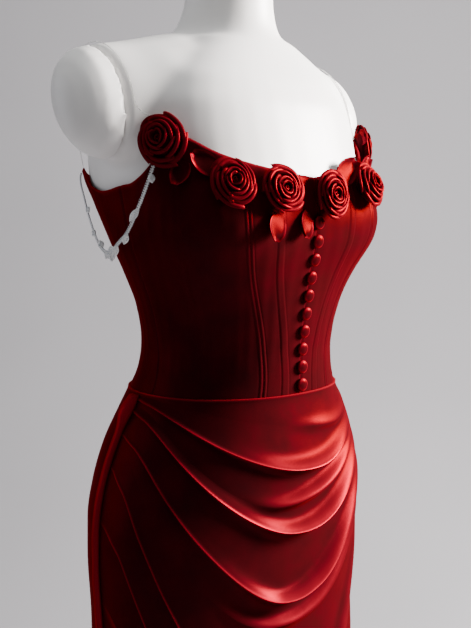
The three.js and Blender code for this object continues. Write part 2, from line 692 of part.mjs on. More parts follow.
function addVines() {
  for (const side of [1, -1]) {
    const stem = tube(spaced(VINE.steps).map((t) => vinePoint(side, t)), VINE.radius, VINE.sides);
    const leaves = LEAVES.map(({ along, spread, length }) => {
      const root = vinePoint(side, along);
      const onward = vinePoint(side, along + 0.01).sub(vinePoint(side, along - 0.01)).normalize();
      const outward = new THREE.Vector3(root.x, root.y, 0).normalize();
      const across = onward.clone().cross(outward).normalize();
      const turn = radians(spread);
      const toward = onward.multiplyScalar(Math.cos(turn)).addScaledVector(across, side * Math.sin(turn));
      const flat = toward.clone().cross(outward).normalize();
      const frame = new THREE.Matrix4().makeBasis(flat, toward, flat.clone().cross(toward));
      return leafGeometry(length).applyMatrix4(frame.setPosition(root));
    });
    place(`crystal_vine_${side > 0 ? 'right' : 'left'}`, joined([stem, ...leaves]), CRYSTAL);
  }
}

// A point on the form's shoulder, seen across X. Turn 0 is the front and 90 the top.
function shoulderPoint(x, turn, out = 0) {
  const size = Math.abs(x);
  const value = (key) => through(SHOULDER_CUTS, 'x', key)(size);
  const up = Math.sin(radians(turn));
  return new THREE.Vector3(
    x,
    value('y') - (value('deep') + out) * Math.cos(radians(turn)) + value('lean') * up,
    value('z') + (value('tall') + out) * up,
  );
}

// A clear strap from inside the front corner over the shoulder to inside the back corner.
function addClearStraps() {
  const { radius, steps, sides, shoulderX, lift } = CLEAR_STRAP;
  const cornerAt = (angle) => gownPoint(angle, topEdgeAt(angle) + radius + SEAM, -CLOTH / 2);
  for (const side of [1, -1]) {
    const over = spaced(steps).map((t) => shoulderPoint(-side * shoulderX, lerp(-8, 172, t), radius + lift));
    const front = cornerAt(side * CLEAR_STRAP.front);
    const back = cornerAt(side * CLEAR_STRAP.back);
    const halfway = (corner, end) => corner.clone().lerp(end, 0.5);
    const route = [front, halfway(front, over[0]), ...over, halfway(back, over.at(-1)), back];
    place(`clear_strap_${side > 0 ? 'right' : 'left'}`, tube(route, radius, sides), CLEAR);
  }
}

// Dress form
const FORM_SIDES = 34;
const SHOULDER_SIDES = 22;
const YOKE_CUTS = [0, 50, 90, 120, 142, CLEAR_STRAP.shoulderX, SHOULDER_CUTS.at(-1).x];
const TRUNK_HEIGHTS = [
  FORM_BOTTOM, 850, 910, 960, 1000, 1030, 1060, 1090, 1120, 1145, 1168, 1188, 1206, 1225, 1250, 1275, 1303,
];
const skirtEase = (z) => lerp(4.5, 0, smoothstep(z, 900, 1010));

// The cloth's inner face less the ease, with both sides of the form alike.
function trunkRing(z) {
  const inward = CLOTH + FORM_EASE + skirtEase(z);
  return Array.from({ length: FORM_SIDES }, (_, i) => {
    const angle = (360 * i) / FORM_SIDES;
    const swell = bustSwell(angle, z);
    const half = gownLeft(z) + swell - inward;
    return sectionPoint(angle, z, {
      right: half,
      left: half,
      front: gownFront(z) + swell - inward,
      back: gownBack(z) + swell - inward,
      square: gownSquare(z),
      squareBack: gownSquareBack(z),
    });
  });
}

function addForm() {
  const lower = TRUNK_HEIGHTS.map(trunkRing);
  const upper = TRUNK_SECTIONS.map((cut) =>
    Array.from({ length: FORM_SIDES }, (_, i) =>
      sectionPoint((360 * i) / FORM_SIDES, cut.z, { ...cut, right: cut.half, left: cut.half }),
    ),
  );
  const yoke = [...YOKE_CUTS.slice(1).reverse().map((x) => -x), ...YOKE_CUTS].map((x) =>
    Array.from({ length: SHOULDER_SIDES }, (_, i) => shoulderPoint(x, (360 * i) / SHOULDER_SIDES)),
  );
  const neck = NECK_SECTIONS.map(({ z, radius, y }) =>
    Array.from({ length: SHOULDER_SIDES }, (_, i) => {
      const turn = (2 * Math.PI * i) / SHOULDER_SIDES;
      return new THREE.Vector3(radius * Math.cos(turn), y + radius * Math.sin(turn), z);
    }),
  );
  place('form_torso', joined([loft([...lower, ...upper]), loft(yoke), loft(neck)]), SHELL);
}

// The egg-shaped caps that close the shoulders
function addShoulderCaps() {
  const end = SHOULDER_CUTS.at(-1);
  for (const side of [1, -1]) {
    const rings = [0, 0.4, 0.7, 0.9, 0.985].map((out) => {
      const size = Math.sqrt(1 - out ** 2);
      return Array.from({ length: SHOULDER_SIDES }, (_, i) => {
        const turn = (2 * Math.PI * i) / SHOULDER_SIDES;
        const up = Math.sin(turn) * size;
        return new THREE.Vector3(
          -side * (end.x + SEAM + SHOULDER_CAP.dome * out),
          end.y - SHOULDER_CAP.deep * Math.cos(turn) * size + end.lean * up,
          end.z + SHOULDER_CAP.tall * up,
        );
      });
    });
    place(`shoulder_cap_${side > 0 ? 'right' : 'left'}`, loft(rings), SHELL);
  }
}

// Stand: a pole and a round weighted base
function addStand() {
  const poleLength = FORM_BOTTOM - BASE.bossTop - 2 * SEAM;
  const pole = new THREE.CylinderGeometry(POLE_RADIUS, POLE_RADIUS, poleLength, 20).rotateX(Math.PI / 2);
  place('stand_pole', pole, METAL).position.set(0, 0, BASE.bossTop + SEAM + poleLength / 2);
  const profile = [
    new THREE.Vector2(0, 0),
    new THREE.Vector2(BASE.radius, 0),
    new THREE.Vector2(BASE.radius, BASE.rim),
    new THREE.Vector2(BASE.boss + 6, BASE.thick),
    new THREE.Vector2(BASE.boss, BASE.bossTop),
    new THREE.Vector2(0, BASE.bossTop),
  ];
  place('stand_base', new THREE.LatheGeometry(profile, 40).rotateX(Math.PI / 2), METAL);
}

addForm();
addShoulderCaps();
addStand();
addBodice();
addCasings();
addSkirtFront();
addSkirtBack();
addDrapeRoll();
addRoses();
addPetals();
addButtons();
addVines();
addClearStraps();

export default gown;
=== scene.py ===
"""A deep red velvet column gown on a limbless white dress form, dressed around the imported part.

The bodice is a boned corset in eight panels with covered buttons and rolled roses, the skirt
is draped from the right side seam, and a crystal vine hangs off each shoulder.
Sizes are in millimetres in the part's own frame: +Z up, the front facing -Y, the wearer's
right at -X. An angle runs round the body from the centre front, 90 at the wearer's right side.
"""

import json
import logging
import math
from dataclasses import dataclass, field, fields
from enum import Enum
from typing import Callable, Sequence

import bmesh
import bpy
import numpy as np
from mathutils import Matrix, Vector

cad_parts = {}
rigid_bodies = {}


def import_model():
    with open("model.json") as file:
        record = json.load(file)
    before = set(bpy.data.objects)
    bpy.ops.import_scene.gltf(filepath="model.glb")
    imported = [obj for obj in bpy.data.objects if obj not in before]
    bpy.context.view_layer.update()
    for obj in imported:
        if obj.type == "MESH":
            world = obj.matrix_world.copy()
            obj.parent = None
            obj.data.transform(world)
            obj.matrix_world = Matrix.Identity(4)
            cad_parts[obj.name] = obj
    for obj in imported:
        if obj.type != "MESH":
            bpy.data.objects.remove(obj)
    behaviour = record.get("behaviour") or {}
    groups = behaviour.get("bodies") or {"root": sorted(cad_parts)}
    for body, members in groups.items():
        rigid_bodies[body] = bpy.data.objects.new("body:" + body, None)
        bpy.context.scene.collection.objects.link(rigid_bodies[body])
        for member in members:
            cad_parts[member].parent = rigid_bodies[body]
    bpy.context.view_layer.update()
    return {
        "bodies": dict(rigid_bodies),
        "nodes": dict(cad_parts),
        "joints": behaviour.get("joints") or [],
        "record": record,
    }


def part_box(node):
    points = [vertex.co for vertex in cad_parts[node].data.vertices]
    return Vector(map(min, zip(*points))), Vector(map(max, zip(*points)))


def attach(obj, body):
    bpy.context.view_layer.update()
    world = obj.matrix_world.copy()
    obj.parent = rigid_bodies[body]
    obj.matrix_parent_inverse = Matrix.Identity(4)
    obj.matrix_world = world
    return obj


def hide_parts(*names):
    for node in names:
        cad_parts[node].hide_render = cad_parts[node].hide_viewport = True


MM = 0.001
LOG = logging.getLogger("gown")
Array = np.ndarray
Thing = bpy.types.Object
Tree = bpy.types.NodeTree
Shader = bpy.types.Node
Socket = bpy.types.NodeSocket
Line = Callable[[Array], Array]
Triple = tuple[Array, Array, Array]
Profile = Sequence[tuple[float, float]]

SIDES = {1: "right", -1: "left"}
CLOTH = 1.8
SEAM_GAP = 0.3
WAIST_SEAM = 1024.0
HEM_HEIGHT = 14.0
SKIRT_LAP = 1.4
SIDE_SEAM = 92.0
SIDE_BACK_SEAM = 138.0
DRAPE_RIGHT = 104.5
DRAPE_LEFT = -88.0


def smoothstep(value: Array, low: float, high: float) -> Array:
    """Rise smoothly from 0 at low to 1 at high.

    Args:
        value: Where to read the step.
        low: The value at which the rise starts.
        high: The value at which it ends.

    Returns:
        The share of the rise, from 0 to 1.
    """
    share = np.clip((np.asarray(value, float) - low) / (high - low), 0.0, 1.0)
    return share * share * (3.0 - 2.0 * share)


def bell(distance: Array, width: float) -> Array:
    """Give a soft bump of height 1 that fades over the width."""
    return np.exp(-((np.asarray(distance, float) / width) ** 2))


def blend(start: Array, end: Array, share: Array) -> Array:
    """Mix two values by a share from 0 to 1."""
    return start + (end - start) * share


def unsigned(angle: Array) -> Array:
    """Give an angle without its side, from 0 at the centre front to 180 at the centre back."""
    return np.abs((np.asarray(angle, float) + 540.0) % 360.0 - 180.0)


class SmoothCurve:
    """A monotone cubic through rows of a table, which never overshoots them."""

    def __init__(self, places: Sequence[float], values: Sequence[float]) -> None:
        """Work out the curve's slopes.

        Args:
            places: Where each row lies, rising.
            values: The value at each row.
        """
        self.x = np.array(places, float)
        self.y = np.array(values, float)
        step = np.diff(self.x)
        slope = np.diff(self.y) / step
        lean = np.zeros_like(self.x)
        lean[0], lean[-1] = slope[0], slope[-1]
        before = 2 * step[1:] + step[:-1]
        after = step[1:] + 2 * step[:-1]
        same = slope[:-1] * slope[1:] > 0
        low = np.where(same, slope[:-1], 1.0)
        high = np.where(same, slope[1:], 1.0)
        lean[1:-1] = np.where(same, (before + after) / (before / low + after / high), 0.0)
        self.lean = lean

    def __call__(self, at: Array) -> Array:
        """Read the curve at one place or many."""
        place = np.clip(np.asarray(at, float), self.x[0], self.x[-1])
        i = np.clip(np.searchsorted(self.x, place, side="right") - 1, 0, len(self.x) - 2)
        step = self.x[i + 1] - self.x[i]
        t = (place - self.x[i]) / step
        bend = t * t * (3 - 2 * t)
        pull = t * (1 - t) * step * (self.lean[i] * (1 - t) - self.lean[i + 1] * t)
        return self.y[i] * (1 - bend) + self.y[i + 1] * bend + pull


@dataclass(frozen=True)
class Section:
    """One level section of the gown: half widths, depths and squareness, in millimetres."""

    z: float
    right: float
    left: float
    front: float
    back: float
    square: float
    square_back: float


SECTION_ROWS = (
    (14, 200, 200, 184, 184, 2.1, 2.1), (200, 184, 180, 152, 172, 2.1, 2.1),
    (400, 172, 166, 128, 162, 2.1, 2.1), (600, 165, 156, 113, 156, 2.12, 2.12),
    (760, 166, 151, 106, 152, 2.15, 2.15), (840, 170, 155, 110, 154, 2.15, 2.15),
    (880, 169, 158, 111, 153, 2.15, 2.15), (920, 163, 156, 111, 148, 2.15, 2.15),
    (960, 150, 147, 107, 137, 2.15, 2.15), (1000, 132, 131, 102, 121, 2.15, 2.15),
    (1024, 120, 120, 99, 110, 2.15, 2.15), (1045, 113, 113, 99, 100, 2.15, 2.15),
    (1065, 111, 111, 99, 94, 2.15, 2.15), (1085, 113, 113, 101, 90, 2.15, 2.15),
    (1115, 120, 120, 105, 89, 2.2, 2.2), (1150, 133, 133, 111, 96, 2.25, 2.3),
    (1190, 146, 146, 119, 113, 2.3, 2.45), (1225, 152, 152, 120, 131, 2.3, 2.65),
    (1262, 155, 155, 114, 147, 2.3, 2.9), (1300, 156, 156, 104, 147, 2.3, 2.8),
)
GOWN_SECTIONS = tuple(Section(*row) for row in SECTION_ROWS)
TOP_EDGE = (
    (0, 1253), (20, 1262), (40, 1275), (55, 1291), (63, 1298), (70, 1284), (78, 1263), (90, 1246),
    (103, 1239), (114, 1244), (123, 1257), (129, 1264), (142, 1257), (160, 1247), (180, 1242),
)


@dataclass(frozen=True)
class Bust:
    """The soft swelling on each side of the bust."""

    z: float = 1203
    angle: float = 43
    proud: float = 19
    spread: float = 27
    above: float = 46
    below: float = 52

    def swell(self, angle: Array, z: Array) -> Array:
        """Give how far the cloth swells out at an angle and a height."""
        turned = unsigned(angle)
        drop = np.asarray(z, float) - self.z
        height = drop / np.where(drop > 0, self.above, self.below)
        return self.proud * np.exp(-(((turned - self.angle) / self.spread) ** 2) - height**2)


class GownSurface:
    """The gown's outer face as a function of the angle round the body and the height."""

    def __init__(self, sections: Sequence[Section], bust: Bust) -> None:
        """Run a smooth curve through each column of the sections.

        Args:
            sections: The level sections, from the hem up.
            bust: The swelling over the bust.
        """
        z = [row.z for row in sections]
        names = [entry.name for entry in fields(Section)]
        self.size = {name: SmoothCurve(z, [getattr(row, name) for row in sections]) for name in names}
        self.bust = bust
        self.top = SmoothCurve(*zip(*TOP_EDGE))

    def top_edge(self, angle: Array) -> Array:
        """Give the height of the bodice's top edge at an angle."""
        return self.top(unsigned(angle))

    def point(self, angle: Array, z: Array, out: Array = 0.0) -> Array:
        """Give points on the gown, moved out from the body.

        Args:
            angle: Angles round the body, in degrees.
            z: Heights above the floor.
            out: How far the points stand out of the gown's outer face.

        Returns:
            Points in millimetres, in a last axis of three.
        """
        angle, z, out = np.broadcast_arrays(*(np.asarray(v, float) for v in (angle, z, out)))
        grown = self.bust.swell(angle, z) + out
        sine, cosine = np.sin(np.radians(angle)), np.cos(np.radians(angle))
        half = np.where(sine > 0, self.size["right"](z), self.size["left"](z)) + grown
        deep = np.where(cosine > 0, self.size["front"](z), self.size["back"](z)) + grown
        power = 2.0 / np.where(cosine > 0, self.size["square"](z), self.size["square_back"](z))
        x = -half * np.sign(sine) * np.abs(sine) ** power
        y = -deep * np.sign(cosine) * np.abs(cosine) ** power
        return np.stack([x, y, z], axis=-1)

    def frame(self, angle: float, z: float) -> tuple[Array, Array, Array, Array]:
        """Give a place on the gown and the directions across, up and out of it."""
        spot = self.point(angle, z)
        across = self.point(angle + 1, z) - self.point(angle - 1, z)
        upward = self.point(angle, z + 3) - self.point(angle, z - 3)
        out = np.cross(upward, across)
        out /= np.linalg.norm(out)
        side = np.cross([0.0, 0.0, 1.0], out)
        side /= np.linalg.norm(side)
        return spot, side, np.cross(out, side), out

    def reach(self, angle: Array, z: Array) -> Array:
        """Give how far the surface lies from the middle of the body."""
        spots = self.point(angle, z)
        return np.hypot(spots[..., 0], spots[..., 1])


SURFACE = GownSurface(GOWN_SECTIONS, Bust())


def linear(code: str) -> tuple[float, float, float, float]:
    """Turn an sRGB hex colour, with its leading mark, into the linear one that a shader takes."""
    parts = [int(code[i : i + 2], 16) / 255 for i in (1, 3, 5)]
    made = [c / 12.92 if c <= 0.04045 else ((c + 0.055) / 1.055) ** 2.4 for c in parts]
    return made[0], made[1], made[2], 1.0


def put(made: Shader, **values: object) -> None:
    """Set a node's properties, or its inputs with spaces written as underscores."""
    for name, value in values.items():
        if hasattr(made, name):
            setattr(made, name, value)
        else:
            made.inputs[name.replace("_", " ")].default_value = value


def node(tree: Tree, kind: str, links: dict[str, Socket] | None = None, **values: object) -> Shader:
    """Add a node with its settings, its socket values and its links.

    Args:
        tree: The node tree to add to.
        kind: The node's type name.
        links: Sockets of other nodes, by the name of the input they feed.
        values: What put() sets on it.

    Returns:
        The new node.
    """
    made = tree.nodes.new(kind)
    put(made, **values)
    for name, socket in (links or {}).items():
        tree.links.new(socket, made.inputs[name])
    return made


def noise(tree: Tree, place: Socket, scale: float, detail: float) -> Socket:
    """Add a soft random cloud and give the socket of its value."""
    return node(tree, "ShaderNodeTexNoise", {"Vector": place}, Scale=scale, Detail=detail).outputs["Fac"]


@dataclass(frozen=True)
class Finish:
    """A finish: the values of its shader and the small relief of its surface."""

    name: str
    slot: str
    colour: str
    roughness: float
    metallic: float = 0.0

    def material(self) -> bpy.types.Material:
        """Return the finish's material, made once."""
        found = bpy.data.materials.get(self.name)
        if found:
            return found
        made = bpy.data.materials.new(self.name)
        made.use_nodes = True
        made.node_tree.nodes.clear()
        tree = made.node_tree
        shader = node(tree, "ShaderNodeBsdfPrincipled", Roughness=self.roughness, Metallic=self.metallic)
        shader.inputs["Base Color"].default_value = linear(self.colour)
        place = node(tree, "ShaderNodeTexCoord").outputs["Object"]
        self.dress(tree, shader, place)
        node(tree, "ShaderNodeOutputMaterial", {"Surface": shader.outputs["BSDF"]})
        return made

    def dress(self, tree: Tree, shader: Shader, place: Socket) -> None:
        """Add this finish's own variation to its shader."""
        raise NotImplementedError

    def mottle(self, tree: Tree, shader: Shader, cloud: Socket, other: str) -> None:
        """Drift the base colour towards another one by a cloud."""
        ends = {"A": linear(self.colour), "B": linear(other)}
        mix = node(tree, "ShaderNodeMix", {"Factor": cloud}, data_type="RGBA", **ends)
        tree.links.new(mix.outputs["Result"], shader.inputs["Base Color"])

    def gloss(self, tree: Tree, shader: Shader, cloud: Socket, low: float, high: float) -> None:
        """Vary the roughness from low to high by a cloud."""
        made = node(tree, "ShaderNodeMapRange", {"Value": cloud}, To_Min=low, To_Max=high)
        tree.links.new(made.outputs["Result"], shader.inputs["Roughness"])


@dataclass(frozen=True)
class SilkVelvet(Finish):
    """Silk velvet, woven with a short cut pile: nearly black face on, with a painted sheen of bright red
    where its pile opens.

    The mesh attribute that dress() reads is 1 where the cloth folds or turns and its pile splays; there the
    base colour is painted the bright red of a sheen.
    """

    lit: str = "#44070f"
    deep: str = "#1e0a0c"
    # painted sheen: the bright red laid into the base colour where folds, rims and crests open the pile
    splayed: str = "#8e1022"
    sheen: str = "#f01028"
    flash: str = "#ff1c34"
    pile: float = 0.9
    crush: float = 38.0
    laid_gloss: tuple[float, float] = (0.31, 0.39)

    def dress(self, tree: Tree, shader: Shader, place: Socket) -> None:
        """Let the pile lie in patches, paint a bright sheen where the folds open it, and draw a nap coarse
        enough to show.
        """
        patch = noise(tree, place, 1 / (self.crush * MM), 3.0)
        ends = {"A": linear(self.deep), "B": linear(self.lit)}
        laid = node(tree, "ShaderNodeMix", {"Factor": patch}, data_type="RGBA", **ends)
        # painted sheen: the mesh's mask mixes the bright sheen colour into the base colour
        opened = node(tree, "ShaderNodeAttribute", attribute_name="painted_sheen_mask")
        fed = {"Factor": opened.outputs["Fac"], "A": laid.outputs["Result"]}
        colour = node(tree, "ShaderNodeMix", fed, data_type="RGBA", B=linear(self.splayed))
        tree.links.new(colour.outputs["Result"], shader.inputs["Base Color"])
        self.gloss(tree, shader, patch, *self.laid_gloss)
        put(shader, Sheen_Weight=0.08, Sheen_Roughness=0.5, Sheen_Tint=linear(self.sheen))
        put(shader, Specular_Tint=linear(self.flash), Specular_IOR_Level=0.0)
        nap = noise(tree, place, 1 / (self.pile * MM), 2.0)
        soft = node(tree, "ShaderNodeBump", {"Height": patch}, Strength=0.25, Distance=0.0015)
        fed = {"Height": nap, "Normal": soft.outputs["Normal"]}
        fine = node(tree, "ShaderNodeBump", fed, Strength=0.25, Distance=0.0003)
        tree.links.new(fine.outputs["Normal"], shader.inputs["Normal"])


@dataclass(frozen=True)
class SprayedShell(Finish):
    """Moulded shell sprayed satin white: a soft gloss over a faint orange peel."""

    shade: str = "#e9e7e4"

    def dress(self, tree: Tree, shader: Shader, place: Socket) -> None:
        """Vary the white very slightly and add the sprayer's orange peel."""
        self.mottle(tree, shader, noise(tree, place, 9.0, 2.0), self.shade)
        peel = noise(tree, place, 420.0, 1.0)
        bump = node(tree, "ShaderNodeBump", {"Height": peel}, Strength=0.08, Distance=0.0003)
        tree.links.new(bump.outputs["Normal"], shader.inputs["Normal"])


@dataclass(frozen=True)
class PolishedMetal(Finish):
    """Plated metal: bright, with faint wear that varies its gloss."""

    worn: float = 0.12

    def dress(self, tree: Tree, shader: Shader, place: Socket) -> None:
        """Vary the gloss where hands and cloth have rubbed it."""
        rub = noise(tree, place, 60.0, 3.0)
        self.gloss(tree, shader, rub, self.roughness, self.roughness + self.worn)


@dataclass(frozen=True)
class CutCrystal(Finish):
    """Foil-backed cut crystal: pale foil under clear glossy facets, which sparkle."""

    foil: str = "#c9d2dc"

    def dress(self, tree: Tree, shader: Shader, place: Socket) -> None:
        """Tint the stones slightly apart, as foil backs do."""
        self.mottle(tree, shader, noise(tree, place, 300.0, 0.0), self.foil)
        put(shader, Coat_Weight=1.0, Coat_Roughness=0.03)


@dataclass(frozen=True)
class ClearStrap(Finish):
    """Extruded clear polyurethane: glossy, thin and nearly invisible."""

    def dress(self, tree: Tree, shader: Shader, place: Socket) -> None:
        """Let light through, with the faint haze of a rubbed strap."""
        put(shader, Transmission_Weight=0.85, IOR=1.49)
        self.gloss(tree, shader, noise(tree, place, 200.0, 1.0), 0.12, 0.3)


@dataclass(frozen=True)
class StudioPaper(Finish):
    """Matt background paper with the faintest mottle."""

    shade: str = "#8c8c90"

    def dress(self, tree: Tree, shader: Shader, place: Socket) -> None:
        """Mottle the paper so that it isn't a flat grey."""
        self.mottle(tree, shader, noise(tree, place, 1.5, 2.0), self.shade)


class Cloths(Enum):
    """The finishes of the gown, of what it stands on and of the studio."""

    VELVET = SilkVelvet("silk_velvet", "velvet", "#6c0e13", 0.48, 0.32)
    SHELL = SprayedShell("sprayed_shell", "form_shell", "#f4f2f0", 0.42)
    STEEL = PolishedMetal("satin_steel", "stand_metal", "#b9bbbd", 0.28, 1.0)
    SILVER = PolishedMetal("rhodium_plate", "crystal", "#f2f2f0", 0.3, 0.12)
    CRYSTAL = CutCrystal("foiled_crystal", "crystal", "#fdfdfc", 0.12, 0.0)
    CLEAR = ClearStrap("clear_polyurethane", "clear_strap", "#f2f2f0", 0.2)
    PAPER = StudioPaper("studio_paper", "", "#96969a", 0.9)


@dataclass
class Mesh:
    """Points and faces that grow piece by piece, in millimetres, and the painted sheen of their opened
    pile.
    """

    points: list[Array] = field(default_factory=list)
    faces: list[Array] = field(default_factory=list)
    opened: list[Array] = field(default_factory=list)
    count: int = 0

    def add(self, points: Array, faces: Array, opened: Array | None = None) -> None:
        """Add points and the quads between them.

        Args:
            points: The new points.
            faces: Quads of them, counted from the first.
            opened: How strong the painted sheen is at each point, from 0 to 1, where the pile opens.
        """
        flat = points.reshape(-1, 3)
        self.points.append(flat)
        self.faces.append(faces + self.count)
        self.opened.append(np.zeros(len(flat)) if opened is None else opened.reshape(-1))
        self.count += len(flat)

    def grid(self, points: Array, round_columns: bool = False, opened: Array | None = None) -> None:
        """Add an open sheet of quads over rows and columns of points.

        Args:
            points: Points by row and column.
            round_columns: Whether the last column meets the first.
            opened: How strong the painted sheen is at each point.
        """
        rows, columns = points.shape[:2]
        across = np.arange(columns if round_columns else columns - 1)
        r, c = np.meshgrid(np.arange(rows - 1), across, indexing="ij")
        low, high = r * columns, (r + 1) * columns
        after = (c + 1) % columns
        quads = np.stack([low + c, low + after, high + after, high + c], -1)
        self.add(points, quads.reshape(-1, 4), opened)

    def wall(self, outer: Array, inner: Array, opened: Array | None = None) -> None:
        """Add a closed wall between two sheets of the same rows and columns.

        Args:
            outer: Points of the face seen from outside, by row and column.
            inner: Points of the face behind it.
            opened: How strong the painted sheen of the outer face is.
        """
        rows, columns = outer.shape[:2]
        size = rows * columns
        index = np.arange(size).reshape(rows, columns)
        face = np.stack([index[:-1, :-1], index[:-1, 1:], index[1:, 1:], index[1:, :-1]], -1)
        face = face.reshape(-1, 4)
        ring = np.concatenate([index[0, :], index[1:, -1], index[-1, -2::-1], index[-2:0:-1, 0]])
        after = np.roll(ring, -1)
        rim = np.stack([after, ring, ring + size, after + size], -1)
        points = np.concatenate([outer.reshape(-1, 3), inner.reshape(-1, 3)])
        # only the outer face carries the painted sheen
        pile = np.zeros((2, rows, columns))
        pile[0] = 0 if opened is None else opened
        self.add(points, np.concatenate([face, face[:, ::-1] + size, rim]), pile)

    def tube(self, line: Array, radius: Array, sides: int) -> None:
        """Add a closed round tube along a line.

        Args:
            line: The points that it follows.
            radius: Its radius, one or one for each point.
            sides: How many sides its section has.
        """
        along = np.gradient(line, axis=0)
        along /= np.linalg.norm(along, axis=1)[:, None]
        across = np.cross([0.0, 0.0, 1.0], along)
        weak = np.linalg.norm(across, axis=1) < 0.05
        across[weak] = np.cross([0.0, 1.0, 0.0], along[weak])
        across /= np.linalg.norm(across, axis=1)[:, None]
        third = np.cross(along, across)
        turn = np.linspace(0, 2 * math.pi, sides, endpoint=False)
        thick = np.broadcast_to(np.asarray(radius, float), (len(line),))[:, None, None]
        ring = across[:, None] * np.cos(turn)[None, :, None] + third[:, None] * np.sin(turn)[None, :, None]
        body = line[:, None] + ring * thick
        ends = [body[:1] * 0 + line[0], body, body[:1] * 0 + line[-1]]
        self.grid(np.concatenate(ends), round_columns=True)

    def lathe(self, profile: Profile, sides: int, opened: Array | None = None) -> None:
        """Add a turned solid about Z.

        Args:
            profile: Radius and height of each ring, from one end of the axis to the other.
            sides: How many points each ring has.
            opened: How strong the painted sheen is on each ring.
        """
        turn = np.linspace(0, 2 * math.pi, sides, endpoint=False)
        radius, height = np.array(profile, float).T
        radius, height = radius[:, None], height[:, None] + 0 * turn
        rings = np.stack([radius * np.cos(turn), radius * np.sin(turn), height], -1)
        pile = None if opened is None else opened[:, None] + 0 * turn
        self.grid(rings, round_columns=True, opened=pile)

    def seat(self, angle: float, z: float, lift: float) -> None:
        """Move everything added so far from its own frame onto the gown.

        Args:
            angle: The angle of the place on the gown.
            z: Its height.
            lift: How far the frame's origin stands out.
        """
        spot, side, upward, out = SURFACE.frame(angle, z)
        turn = np.stack([side, upward, out])
        self.points = [spot + out * lift + points @ turn for points in self.points]

    def object(self, name: str, cloth: Cloths, smooth: float = 60.0) -> Thing:
        """Turn what was added into an object of the scene, in metres.

        Args:
            name: The piece's name.
            cloth: What it is made of.
            smooth: Edges sharper than this many degrees stay sharp.

        Returns:
            The new object, at the origin.
        """
        mesh = bpy.data.meshes.new(name)
        points, faces = np.concatenate(self.points) * MM, np.concatenate(self.faces)
        mesh.from_pydata(points.tolist(), [], faces.tolist())
        # the painted sheen mask, which the velvet's shader turns into a bright red
        pile = mesh.attributes.new("painted_sheen_mask", "FLOAT", "POINT")
        pile.data.foreach_set("value", np.clip(np.concatenate(self.opened), 0, 1))
        piece = place_in_scene(name, mesh)
        clean(piece, smooth)
        mesh.materials.append(cloth.value.material())
        return piece

    def piece(self, name: str, cloth: Cloths, *nodes: str, smooth: float = 60.0) -> Thing:
        """Make the object and settle it on the part, in place of the given nodes."""
        made = self.object(name, cloth, smooth)
        settle(made, cloth, *nodes)
        return made


def place_in_scene(name: str, data: bpy.types.ID) -> Thing:
    """Put an object that holds a mesh, a light or a camera into the scene, at its origin."""
    made = bpy.data.objects.new(name, data)
    bpy.context.scene.collection.objects.link(made)
    return made


def clean(piece: Thing, smooth: float) -> None:
    """Merge doubles, point the faces out and smooth the shading.

    Args:
        piece: The mesh object.
        smooth: Edges sharper than this many degrees stay sharp.
    """
    work = bmesh.new()
    work.from_mesh(piece.data)
    bmesh.ops.remove_doubles(work, verts=work.verts, dist=0.00001)
    bmesh.ops.dissolve_degenerate(work, dist=0.000001, edges=work.edges)
    bmesh.ops.recalc_face_normals(work, faces=work.faces)
    work.to_mesh(piece.data)
    work.free()
    piece.data.shade_smooth()
    piece.data.set_sharp_from_angle(angle=math.radians(smooth))


def settle(piece: Thing, cloth: Cloths, *nodes: str) -> None:
    """Make a finished piece ride on the part and stand for its nodes.

    Args:
        piece: The finished piece.
        cloth: What it is made of; not used.
        nodes: The part's nodes that it stands for.
    """
    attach(piece, "root")
    if nodes:
        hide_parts(*nodes)
    LOG.info("%s: %d faces", piece.name, len(piece.data.polygons))


@dataclass(frozen=True)
class CutVelvet:
    """A cut piece of velvet: its name, the nodes it stands for, how it is held and on what."""

    name: str
    nodes: tuple[str, ...]
    held: str = "stretched"
    rests_on: str = "dress_form"

    def make(self, outer: Array, inner: Array, pile: Array) -> None:
        """Args:
            outer: Its outer face's points, by row and column.
            inner: Its inner face's points.
            pile: How strong its painted sheen is, where its pile opens.
        """
        made = Mesh()
        made.wall(outer, inner, pile)
        piece = made.piece(self.name, Cloths.VELVET, *self.nodes)
        across = np.linalg.norm(np.diff(outer, axis=1), axis=2).sum(axis=1).max()
        down = np.linalg.norm(np.diff(outer, axis=0), axis=2).sum(axis=0).max()
        one = np.cross(outer[1:, :-1] - outer[:-1, :-1], outer[:-1, 1:] - outer[:-1, :-1])
        two = np.cross(outer[1:, :-1] - outer[1:, 1:], outer[:-1, 1:] - outer[1:, 1:])
        area = (np.linalg.norm(one, axis=2).sum() + np.linalg.norm(two, axis=2).sum()) / 2
        width, length = round(float(across) * MM, 3), round(float(down) * MM, 3)
        area = min(float(area) * MM * MM, width * length)


@dataclass(frozen=True)
class PhotoCamera:
    """The photograph's camera: three-quarter from the wearer's right, at bust height."""

    azimuth: float = 45.0
    distance: float = 1250.0
    height: float = 1239.0
    tilt: float = 6.3
    lens: float = 63.97
    sensor: float = 36.0

    def make(self) -> None:
        """Place the camera and make it the scene's own."""
        data = bpy.data.cameras.new("photo_camera")
        data.lens = self.lens
        data.sensor_width = self.sensor
        data.clip_end = 50.0
        camera = place_in_scene("photo_camera", data)
        turn = math.radians(self.azimuth)
        place = Vector((-self.distance * math.sin(turn), -self.distance * math.cos(turn), self.height))
        camera.location = place * MM
        camera.rotation_euler = (math.radians(90 - self.tilt), 0.0, -turn)
        bpy.context.scene.camera = camera


